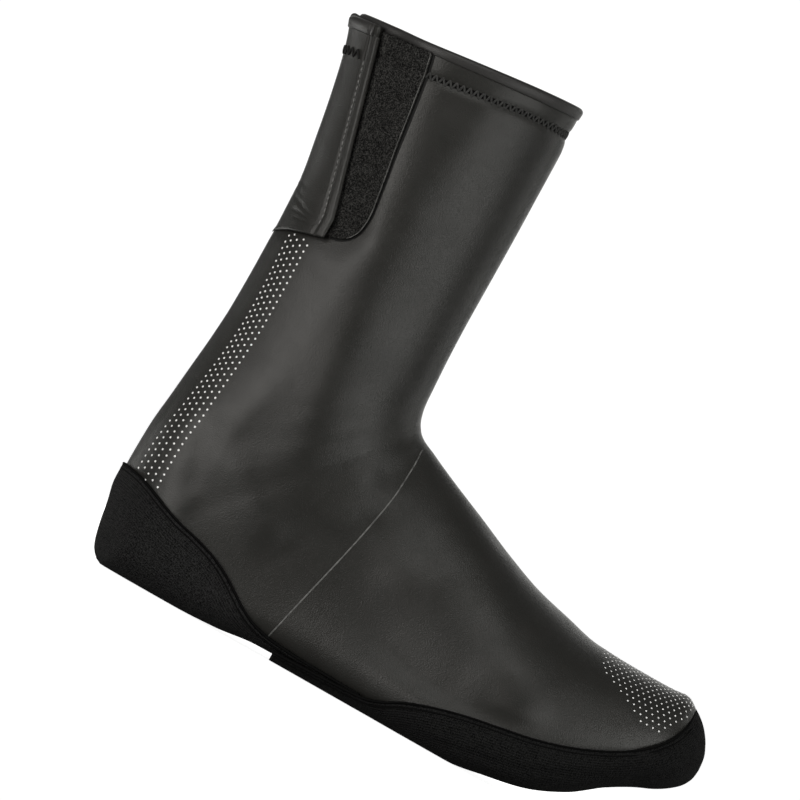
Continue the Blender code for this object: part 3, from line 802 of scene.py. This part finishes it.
group = frontSole.vertex_groups.new(name="thick")  # the doubled end that makes the step under the waist
for vertex in frontSole.data.vertices:
    x, _, z = np.array(vertex.co) / mm - shift
    weight = (1.0 - ease(sole["step"], sole["step"] + sole["stepFade"], x)) * (z < sole["stepHigh"])
    group.add([vertex.index], float(weight), "REPLACE")
frontShell.thickness = sole["stepThick"] * mm
frontShell.vertex_group = "thick"
frontShell.thickness_vertex_group = sole["knit"] / sole["stepThick"]

for name, (path, normals), centre in (("rear_hem", rearEdge, (30, 0, 0)),
                                      ("front_hem", frontEdge, (240, 0, 0))):
    inward = inwardOf(path, normals, centre)
    across = unit(np.cross(normals, np.gradient(path, axis=0))) * inward
    profile = ringProfile(hem["line"], hem["lineHigh"], hem["sides"], hem["lineLift"])
    line = sweep(path + across * hem["lineIn"], normals, profile)
    points, faces = joinParts((hemStrip(path, normals, inward), line))
    sunk = normals * (hem["sunk"] * toeFlush(path[:, 0], path[:, 2]))[:, None]
    lay = np.stack((runLength(path), np.zeros(len(path))), axis=1)
    sunk, lay = (np.tile(np.repeat(part, hem["sides"], axis=0), (2, 1)) for part in (sunk, lay))
    makePiece(name, (points - sunk, faces), hemShadeThread, uv=lay)
for name, (path, normals), finish in (("heel_cut_hem", rearCut, counterKnit),
                                      ("cleat_cut_hem", frontCut, randKnit)):
    profile = ringProfile(hem["cutWide"], hem["cutHigh"], hem["cutSides"], -0.5 * hem["cutHigh"])
    points, faces = sweep(path, normals, profile, True)
    at = runLength(path)
    lay = np.zeros((len(points), 2))
    lay[:, 0] = np.repeat(np.append(at, at[-1] + hem["cutSpacing"]), hem["cutSides"])
    makePiece(name, (points, faces), finish, uv=lay, weld=0.01)
print("soles made")


# Closure flap: from the inner edge of the slit round the back to its slanting front edge
flap = {"rows": 132, "columns": 54, "footRoot": 165.0, "footTip": 172.4, "top": 261.0, "seat": 0.6,
        "lift": 0.8, "thick": 2.2, "hemThick": 0.6, "thickens": (168.0, 192.0), "edgeRound": 1.3,
        "puff": 0.2, "puffWide": 1.5, "groove": 0.55, "grooveWide": 0.7, "stitchIn": 5.6,
        "stitchRun": (0.06, 0.90), "stitch": 2.45, "stitchGap": 0.35, "thread": 0.85}
# wrinkles at its foot: rise, half width, line x z
flapFolds = (
    (-0.24, 0.8, ((8.5, 183.6), (15, 180.6), (22.6, 178.9))),
    (-0.24, 0.7, ((10.5, 178.4), (22.4, 177.6))),
    (-0.20, 0.7, ((13, 175.6), (22, 176.6))),
    (-0.10, 1, ((6, 188.4), (10.5, 185.8))),
    (-0.10, 1, ((6, 191.6), (10, 189.6))),
)


def stationBehind(height):  # station at which the line behind the shaft has this height
    at = np.linspace(along[form["heelRow"]], collarAt, 1200)
    return np.interp(height, sectionAt(at)["bz"], at)


def flapBase(rowShare, share):
    foot = flap["footRoot"] + share * (flap["footTip"] - flap["footRoot"])
    at = stationBehind(foot + (flap["top"] - foot) * rowShare)
    row = sectionAt(at)
    outer, outerLength, _, _ = halfLines(row, -1)
    inner, innerLength, _, _ = halfLines(row, 1)
    root = np.maximum(slitWidth(row["bz"]) - flap["seat"], 0.0)
    reach = np.array([np.interp(0.0, line[:, 0] - flapEdgeX(line[:, 2]), length)
                      for line, length in zip(outer, outerLength)])
    way = -root + share * (reach + root)
    places = np.where((way < 0.0)[:, None], pickRows(inner, innerLength, np.maximum(-way, 0.0)),
                      pickRows(outer, outerLength, np.maximum(way, 0.0)))
    return places, (1.0 - share) * (reach + root)


def flapRelief(places, fromEdge):
    x, _, z = np.moveaxis(places, -1, 0)
    groove = flap["groove"] * hump(fromEdge - flap["stitchIn"], flap["grooveWide"])
    puff = flap["puff"] * ease(0.0, flap["puffWide"], flap["stitchIn"] - fromEdge)
    rise = np.zeros(x.shape)
    for high, wide, line in flapFolds:
        rise = rise + high * hump(fromLine(x, z, line)[0], wide)
    return rise + puff - groove


def roundedEdge(fromEdge, fromEnd, reach):  # share of the thickness, and of the way in
    inside = np.minimum(np.clip(fromEdge / reach, 0.0, 1.0), np.clip(fromEnd / reach, 0.0, 1.0))
    return np.sqrt(np.clip(1.0 - (1.0 - inside) ** 2, 0.0, 1.0)), inside


evenRows, evenColumns = (np.linspace(0.0, 1.0, flap[name] + 1) for name in ("rows", "columns"))
rowShare, share = np.meshgrid(evenRows, evenColumns, indexing="ij")
flapWall, fromFlapEdge = flapBase(rowShare.ravel(), share.ravel())
flapWall, fromFlapEdge = flapWall.reshape(rowShare.shape + (3,)), fromFlapEdge.reshape(rowShare.shape)
flapNormals = gridNormals(flapWall)
height = flapWall[..., 2]
thickness = flap["hemThick"] + (flap["thick"] - flap["hemThick"]) * ease(*flap["thickens"], height)
clear = thickness + sole["seat"] - dip["depth"] * ease(dip["from"], dip["full"], height)
middle = np.maximum(flap["lift"] * share, clear) - 0.5 * thickness
fromFoot = np.zeros(height.shape)
fromFoot[1:] = np.cumsum(np.linalg.norm(np.diff(flapWall, axis=0), axis=2), axis=0)
full, _ = roundedEdge(fromFlapEdge, fromFoot, flap["edgeRound"])
relief = flapRelief(flapWall, fromFlapEdge)
flapOut = flapWall + flapNormals * (middle + full * (0.5 * thickness + relief))[..., None]
flapIn = flapWall + flapNormals * (middle - full * 0.5 * thickness)[..., None]
makePiece("closure_flap_panel", closedShell(flapOut, flapIn, True), coated, "closure_flap",
          weld=0.01)


def flapLine(fromEdge, ends, count):  # places on the flap's outer face, this far from its edge
    rows = np.linspace(*ends, count) * flap["rows"]
    found = []
    for grid in (flapOut, flapNormals):
        line = [blend([-fromEdge], -far, row)[0] for far, row in zip(fromFlapEdge, grid)]
        found.append(blend(rows, np.arange(len(grid)), np.array(line)))
    return found[0], unit(found[1])


def stitchRow(path, normals, long, gap, thread):  # short plump stitches end to end
    rings, sides = 7, 6
    swell = np.sin(np.linspace(0.12, math.pi - 0.12, rings))
    parts = []
    for start in np.arange(0.5 * gap, runLength(path)[-1] - long, long + gap):
        line, off = onPath(path, normals, start + long * np.linspace(0.0, 1.0, rings))
        line = line + off * (0.35 * thread * swell - 0.1)[:, None]
        points, faces = sweep(line, off, ringProfile(thread, thread, sides))
        thin = 0.35 + 0.65 * np.repeat(swell, sides)[:, None]
        core = np.repeat(line, sides, axis=0)
        parts.append((core + (points - core) * thin, faces))
    return joinParts(parts)


path, normals = flapLine(flap["stitchIn"], flap["stitchRun"], 60)
stitches = stitchRow(path, normals, flap["stitch"], flap["stitchGap"], flap["thread"])
makePiece("flap_stitches", stitches, greyThread)
print("flap made")


# Loop tape: a low pad on the dipped wall, covered with small loops
tape = {"thick": 1.6, "seat": 0.3, "rows": 90, "columns": 26, "under": 7.0, "edgeRound": 0.8, "rough": 0.12,
        "low": 175.4, "high": 269.0, "slant": 0.10, "slantFrom": 8.0, "edgeDense": 1.6, "endDense": 0.3,
        "loops": 9000, "loopFrom": 0.3, "loopSpan": 0.69, "loopWide": 0.42, "loopHigh": 0.50, "loopLean": 0.5,
        # the pale edge line is a painted highlight, and the rim a black band of painted shadow beside the
        # tape's edge
        "thread": 0.15, "points": 160, "spacing": 0.8, "highlightAt": 0.983, "highlightEnds": (0.03, 0.97),
        "line": (0.34, 0.3),
        "rightEdge": ((29.4, 175.4), (33, 176.2), (38.6, 179.6), (41.4, 184.6), (42.2, 191), (40.9, 203),
                      (37.6, 224), (35.2, 241), (33, 255.2), (30.6, 265.8), (29.2, 268.2), (27, 269)),
        "rim": ((0.6, -0.3), (0.6, 0.3), (-0.9, 0.4), (-1.5, 0.1), (-1.7, -0.3))}


def tapeEdgeX(height):
    x, z = np.array(tape["rightEdge"]).T
    return curveThrough(z, x, height)


def tapeBase(heightShare, share):
    height = tape["low"] + (tape["high"] - tape["low"]) * heightShare
    right = tapeEdgeX(height)
    left = np.minimum(flapEdgeX(height) - tape["under"], right - 1.0)
    x = left + (right - left) * share
    at, arc = fromSide(x, height + tape["slant"] * (x - tape["slantFrom"]) * heightShare**2, -1)
    return *onWall(at, -1, arc), right - x


evenRows, evenColumns = (np.linspace(0.0, 1.0, tape[name] + 1) for name in ("rows", "columns"))
denseRows = 0.5 - 0.5 * np.cos(math.pi * evenRows)
rowShare, share = np.meshgrid((1.0 - tape["endDense"]) * evenRows + tape["endDense"] * denseRows,
                              1.0 - (1.0 - evenColumns) ** tape["edgeDense"], indexing="ij")
tapeWall, tapeNormals, fromEdge = tapeBase(rowShare.ravel(), share.ravel())
fromEnd = np.minimum(rowShare, 1.0 - rowShare).ravel() * (tape["high"] - tape["low"])
full, inside = roundedEdge(fromEdge, fromEnd, tape["edgeRound"])
rough = tape["rough"] * rng.standard_normal(len(full)) * (inside > 0.9)
half = 0.5 * tape["thick"]
tapeOut = tapeWall + tapeNormals * (tape["seat"] + half * (1.0 + full) + rough)[:, None]
tapeIn = tapeWall + tapeNormals * (tape["seat"] + half * (1.0 - full))[:, None]
pad = closedShell(*(face.reshape(rowShare.shape + (3,)) for face in (tapeOut, tapeIn)), False)
makePiece("loop_tape_pad", pad, pile, "loop_tape", weld=0.01)

loopShare = rng.random((tape["loops"], 2))
seeds, seedNormals, _ = tapeBase(loopShare[:, 0], tape["loopFrom"] + tape["loopSpan"] * loopShare[:, 1])
seeds = seeds + seedNormals * (tape["seat"] + 0.9 * tape["thick"])
turn = rng.random(tape["loops"]) * 2.0 * math.pi
first = unit(np.cross(seedNormals, (0.0, 0.0, 1.0)))
second = np.cross(seedNormals, first)
run = first * np.cos(turn)[:, None] + second * np.sin(turn)[:, None]
lean = unit(seedNormals + tape["loopLean"] * rng.standard_normal((tape["loops"], 3)))
aside = unit(np.cross(lean, run))[:, None, None, :]
run, lean = run[:, None, None, :], lean[:, None, None, :]
rings, sides = 4, 3
arch = np.linspace(0.0, math.pi, rings)[None, :, None, None]
circle = (np.arange(sides) * 2.0 * math.pi / sides)[None, None, :, None]
size = (0.7 + 0.6 * rng.random(tape["loops"]))[:, None, None, None]
bow = (0.5 * tape["loopWide"] * np.cos(arch) * run + tape["loopHigh"] * np.sin(arch) * lean) * size
radial = np.cos(arch) * run + np.sin(arch) * lean
around = 0.5 * tape["thread"] * (np.cos(circle) * radial + np.sin(circle) * aside)
loopPoints = (seeds[:, None, None, :] + bow + around).reshape(-1, 3)
loopStarts = rings * sides * np.arange(tape["loops"])[:, None, None]
loopFaces = (np.array(gridFaces(rings, sides, True))[None] + loopStarts).reshape(-1, 4).tolist()
makePiece("loop_tape_loops", (loopPoints, loopFaces), pile, fixSides=False)

highlightProfile = ringProfile(*tape["line"], 8, tape["seat"] + tape["thick"])
# sewn edge beside the pile, its black band a painted shadow of the tape's edge, and a pale line along the
# edge that is a painted highlight
for name, ends, across, profile, finish in (
    ("loop_tape_rim_painted_shadow", (0.0, 1.0), 1.0, tape["rim"], blackThread),
    ("loop_tape_painted_highlight_line", tape["highlightEnds"], tape["highlightAt"], highlightProfile, glintSeamThread),
):
    path, normals, _ = tapeBase(np.linspace(*ends, tape["points"]), np.full(tape["points"], across))
    makePiece(name, sweep(*evenPath(path, normals, tape["spacing"]), profile), finish)
print("tape made")


# Rolled edges of the collar and of the flap
roll = {"back": 3.9, "front": 4.8, "grows": (10.0, 90.0), "proud": 0.7, "lap": 0.35, "flapHigh": 5.0,
        "round": 9, "endIn": 3.8, "endProud": 0.15}


def rollAlong(rim, below, normals, thick, high, proud):  # a rounded bar on the rim, lapping over its edge
    up = unit(rim - below)
    out = unit(normals - up * np.sum(normals * up, axis=1)[:, None])
    outside, inside = proud, -thick - proud
    middle, reach = 0.5 * (outside + inside), 0.5 * (outside - inside)
    turn = np.linspace(0.0, math.pi, roll["round"])
    lip = np.array([(outside - 0.45, -roll["lap"]), (outside - 0.1, 0.0)])
    arc = np.stack((middle + reach * np.cos(turn), reach * np.sin(turn) - reach), axis=1)
    profile = np.concatenate((lip, arc, (lip - (outside, 0.0)) * (-1.0, 1.0) + (inside, 0.0)))
    profile[-2:] = profile[:-3:-1]
    stands = np.concatenate(((0.0, 0.0), np.ones(len(turn)), (0.0, 0.0)))
    rise = profile[None, :, 1] + stands[None] * np.broadcast_to(high, len(rim))[:, None]
    points = rim[:, None] + profile[None, :, :1] * out[:, None] + rise[..., None] * up[:, None]
    return points.reshape(-1, 3), tubeFaces(len(rim), len(profile))


rollHigh = roll["back"] + (roll["front"] - roll["back"]) * ease(*roll["grows"], wall[-1, :, 0])
collarRoll = rollAlong(wall[-1], wall[-8], wallNormals[-1], form["wall"], rollHigh, roll["proud"])
makePiece("collar_roll", collarRoll, rolled, "collar_binding")
endColumn = int(np.argmin(np.abs(fromFlapEdge[-1] - roll["endIn"])))
for name, columns, proud, finish, stands in (
    ("flap_roll", slice(1, endColumn + 1), roll["proud"], rolled, "flap_binding"),
    ("flap_edge_end", slice(endColumn, flap["columns"]), roll["endProud"], coated, ""),
):
    rim, below, normals = flapOut[-1, columns], flapOut[-10, columns], flapNormals[-1, columns]
    flapRoll = rollAlong(rim, below, normals, flap["thick"], roll["flapHigh"], proud)
    makePiece(name, flapRoll, finish, stands)


# Zigzag stitching below the collar's rolled edge
def zigzagPath():
    row = sectionAt(np.linspace(along[-4], collarAt, 400))
    frontX = float(row["tx"][np.argmin(np.abs(row["tz"] - zigzagZ(row["tx"])))])
    parts = []
    for side, backX in zip((-1, 1), zigzag["backX"]):
        x = backX + (frontX - 0.02 - backX) * np.sin(np.linspace(0.0, 0.5 * math.pi, 90))
        at, arc = fromSide(x, zigzagZ(x), side)
        parts.append([part[::-side] for part in onWall(at, side, arc)])
    return evenPath(*map(np.concatenate, zip(*parts)), zigzag["spacing"])


def zigzagThreads(path, normals, pitch):  # slanting bars between two lines, each a plump thread
    half, rings = 0.5 * pitch, 6
    low, swell = zigzag["lift"]
    lift = low + swell * np.sin(np.linspace(0.0, math.pi, rings))
    parts = []
    for i, start in enumerate(np.arange(0.0, runLength(path)[-1] - half, half)):
        line, off = onPath(path, normals, start + half * np.linspace(0.0, 1.0, rings))
        rise = unit(np.cross(off, np.gradient(line, axis=0)))
        swing = 0.5 * zigzag["high"] * np.linspace(-1.0, 1.0, rings) * (1.0 if i % 2 else -1.0)
        line = line + rise * swing[:, None] + off * lift[:, None]
        parts.append(sweep(line, off, ringProfile(zigzag["thread"], zigzag["thread"], 6)))
    return joinParts(parts)


path, normals = zigzagPath()
makePiece("collar_zigzag", zigzagThreads(path, normals, zigzag["pitch"]), zigzagGlintThread)
# a flat band under the zigzag in the hem finish, whose dark tone is painted shade
strip = sweep(path, normals, ringProfile(zigzag["strip"], 0.5, 8))
makePiece("collar_zigzag_base", strip, hemShadeThread)
spot = int(zigzag["flapRow"] * flap["rows"]), zigzag["flapColumns"]
path, normals = evenPath(flapOut[spot], flapNormals[spot], zigzag["spacing"])
flapZigzag = zigzagThreads(path, normals, zigzag["flapPitch"] * zigzag["pitch"])
makePiece("flap_zigzag", flapZigzag, blackThread)
print("edges made")


# Seam over the instep, the same on both sides: a raised tube whose paleness is a painted glint
seam = {"line": ((111.9, 113.9), (112.5, 106.2), (111.8, 94.7), (109, 76.1), (105, 57.9), (97.3, 26.6),
                 (92.6, 6.9)),
        "wide": 0.72, "high": 0.45, "lift": 0.05}
parts = []
for side in (-1, 1):
    at, arc = fromSide(*smoothCurve(seam["line"], 120).T, side)
    parts.append(sweep(*onWall(at, side, arc, seam["lift"]), ringProfile(seam["wide"], seam["high"], 8)))
makePiece("instep_seam", joinParts(parts), glintSeamThread)


# Reflective dots: five staggered columns beside the back line, and a field over the toe
dots = {"wide": 0.98, "toeWide": 0.78, "thick": 0.10, "sides": 10, "foot": 1.06, "pitch": 3.12,
        "extraRows": (0, 0, 1, 1, 1), "rearLow": 45.4, "rearHigh": 172.5, "rearOffset": (6.2, 5.9),
        "rearStep": (1.65, 2.30), "rearGrow": (0.17, 0.145), "bulge": 2.2, "bulgeEnd": 0.92,
        "bulgeFade": 0.25, "toePitch": 3.1, "toeRow": 3.15, "toeRows": 16, "toeMiddle": 252.0,
        "toeStart": 0.15, "levelRows": (1.5, 7.0),
        "toeEdge": ((226.2, 72.6), (230.2, 68.2), (234.7, 65.6), (239.4, 63.1), (246.3, 60.2), (253.4, 56.8),
                    (262.4, 55), (265, 57.8), (267.2, 60.2), (268.7, 63), (270, 65.2), (271.6, 68.6),
                    (272.6, 74))}


def dotDiscs(places, normals, wide):
    sides = dots["sides"]
    first = unit(np.cross(normals, (0.3, 0.2, 1.0)))
    second = np.cross(normals, first)
    turn = np.arange(sides) * 2.0 * math.pi / sides
    rim = np.cos(turn)[None, :, None] * first[:, None] + np.sin(turn)[None, :, None] * second[:, None]
    top = places[:, None] + 0.5 * wide * rim + dots["thick"] * normals[:, None]
    low = places[:, None] + 0.5 * dots["foot"] * wide * rim - dots["thick"] * normals[:, None]
    points = np.concatenate((top, low), axis=1).reshape(-1, 3)
    disc = [[i + sides, (i + 1) % sides + sides, (i + 1) % sides, i] for i in range(sides)]
    disc += [list(range(sides)), list(range(2 * sides - 1, sides - 1, -1))]
    return points, [[i + 2 * sides * n for i in face] for n in range(len(places)) for face in disc]


def rearDots():
    xs, zs = [], []
    for column, extra in enumerate(dots["extraRows"]):
        low = dots["rearLow"] - extra * dots["pitch"]
        rows = int((dots["rearHigh"] - low) / dots["pitch"])
        z = low + dots["pitch"] * (np.arange(rows) + 0.5 * (column % 2))
        down = (dots["rearHigh"] - z) / (dots["rearHigh"] - dots["rearLow"])
        start, step, grow = (high + (deep - high) * down
                             for high, deep in (dots["rearOffset"], dots["rearStep"], dots["rearGrow"]))
        bulge = dots["bulge"] * np.sin(math.pi * np.clip(down / dots["bulgeEnd"], 0.0, 1.0))
        offset = start + column * (step + grow * column) + bulge * (1.0 - dots["bulgeFade"] * column)
        xs.append(sectionAt(stationBehind(z))["bx"] + offset)
        zs.append(z)
    x, z = np.concatenate(xs), np.concatenate(zs)
    sides = []
    for side in (-1, 1):
        at, arc = fromSide(x, z, side)
        sides.append(onWall(at, side, arc))
    return map(np.concatenate, zip(*sides))


def toeDots():  # rows along the toe: evenly spaced over the top, level lower down
    found = []
    edge = np.array(dots["toeEdge"])
    middle = stationUnder(dots["toeMiddle"])
    for side in (-1, 1):
        reach = halfLines(sectionAt(middle), side)[1][:, -1]
        for line in range(0 if side < 0 else 1, dots["toeRows"]):
            down = (line - dots["toeStart"] * side) * dots["toeRow"]
            level = surface(np.array([middle]), side, reach - down)[0, 2]
            x = np.arange(edge[0, 0], edge[-1, 0], dots["toePitch"]) + 0.5 * dots["toePitch"] * (line % 2)
            at, arc = fromSide(x, np.full(len(x), level), side)
            evenArc = halfLines(sectionAt(at), side)[1][:, -1] - down
            arc = evenArc + (arc - evenArc) * ease(*dots["levelRows"], line)
            places, normals = onWall(at, side, arc)
            inside = (places[:, 2] > np.interp(x, *edge.T)) & (x < edge[-1, 0])
            found.append((places[inside], normals[inside]))
    return map(np.concatenate, zip(*found))


makePiece("rear_dots", dotDiscs(*rearDots(), dots["wide"]), dotPrint)
makePiece("toe_dots", dotDiscs(*toeDots(), dots["toeWide"]), dotPrint)
print("seam and dots made")


# Camera: level with the middle of the shoe, rolled so that the toe points down to the right
view = {"roll": 29.4, "lens": 500.0, "across": 353.9, "centre": (92.6, 0.0, 128.0)}
tilt = math.radians(view["roll"])
right = Vector((math.cos(tilt), 0.0, math.sin(tilt)))
up = Vector((-math.sin(tilt), 0.0, math.cos(tilt)))
back = Vector((0.0, -1.0, 0.0))
centre = Vector((np.array(view["centre"]) + shift) * mm)
camera = bpy.data.cameras.new("camera")
camera.lens = view["lens"]
eye = bpy.data.objects.new("camera", camera)
away = view["across"] * mm * camera.lens / camera.sensor_width
eye.matrix_world = Matrix.Translation(centre + back * away) @ Matrix((right, up, back)).transposed().to_4x4()
bpy.context.scene.collection.objects.link(eye)
bpy.context.scene.camera = eye

# Studio: soft boxes round the shoe, turn to the right and rise in degrees, size in metres, power
studio = {
    "right box": (54.0, 3.0, (0.4, 1.2), 9.0),
    "left box": (-43.0, 4.0, (0.8, 0.7), 10.8),
    "top box": (-6.0, 50.0, (0.9, 0.4), 4.8),
    "low box": (-44.0, -26.0, (0.4, 0.3), 1.8),
    "rear right box": (124.0, 5.0, (0.3, 1.3), 2.0),
    "rear left box": (-126.0, -22.0, (0.3, 0.6), 3.0),
    "inner box": (176.0, 6.0, (0.9, 0.7), 2.0),
    "rear top box": (180.0, 35.0, (1.0, 0.3), 0.3),
}
boxAway, boxTint, warmTint = 1.1, (1.0, 1.0, 0.965), (1.0, 0.975, 0.94)
for name, (turn, rise, size, power) in studio.items():
    light = bpy.data.lights.new(name, "AREA")
    light.shape = "RECTANGLE"
    light.size, light.size_y = size
    light.energy = power
    light.color = warmTint if name == "left box" else boxTint
    lamp = bpy.data.objects.new(name, light)
    turn, rise = math.radians(turn), math.radians(rise)
    way = Vector((math.sin(turn) * math.cos(rise), -math.cos(turn) * math.cos(rise), math.sin(rise)))
    lamp.location = centre + way * boxAway
    lamp.rotation_mode = "QUATERNION"
    lamp.rotation_quaternion = (-way).to_track_quat("-Z", "Y")
    bpy.context.scene.collection.objects.link(lamp)

# Pale floor and a white surround that lights softly
ground = {"radius": 14.0, "below": 0.0004, "cloud": 800.0, "rough": 0.7, "glow": 0.94}
floorMesh = bpy.data.meshes.new("floor")
work = bmesh.new()
bmesh.ops.create_circle(work, cap_ends=True, segments=96, radius=ground["radius"])
work.to_mesh(floorMesh)
work.free()
floor = bpy.data.objects.new("floor", floorMesh)
floor.location = (0.0, 0.0, -ground["below"])
bpy.context.scene.collection.objects.link(floor)
floor.visible_diffuse = False
floor.visible_glossy = False
floor.visible_shadow = False  # the low boxes shine through it
kit = startFinish("pale_floor")
feed(kit, kit.shader, {
    "Base Color": toneNode(kit, noiseNode(kit, ground["cloud"]), grey(0.88), grey(0.90)),
    "Roughness": ground["rough"],
    "Emission Color": (*grey(1.0), 1.0),
    "Emission Strength": ground["glow"],
})
floorMesh.materials.append(kit.finish)

surround = {"seen": 1.05, "light": 0.09}
world = bpy.data.worlds.new("surround")
bpy.context.scene.world = world
world.use_nodes = True
kit = SimpleNamespace(nodes=world.node_tree.nodes, links=world.node_tree.links)
white = (*grey(1.0), 1.0)
sky = kit.nodes["Background"]
feed(kit, sky, {"Color": white, "Strength": surround["light"]})
shown = addNode(kit, "Background", "Background", {"Color": white, "Strength": surround["seen"]})
rays = addNode(kit, "LightPath", "Is Camera Ray", {})
both = addNode(kit, "MixShader", "Shader", {"Fac": rays, 1: sky.outputs["Background"], 2: shown})
feed(kit, kit.nodes["World Output"], {"Surface": both})
bpy.context.scene.view_settings.view_transform = "Standard"
print("camera and studio made")
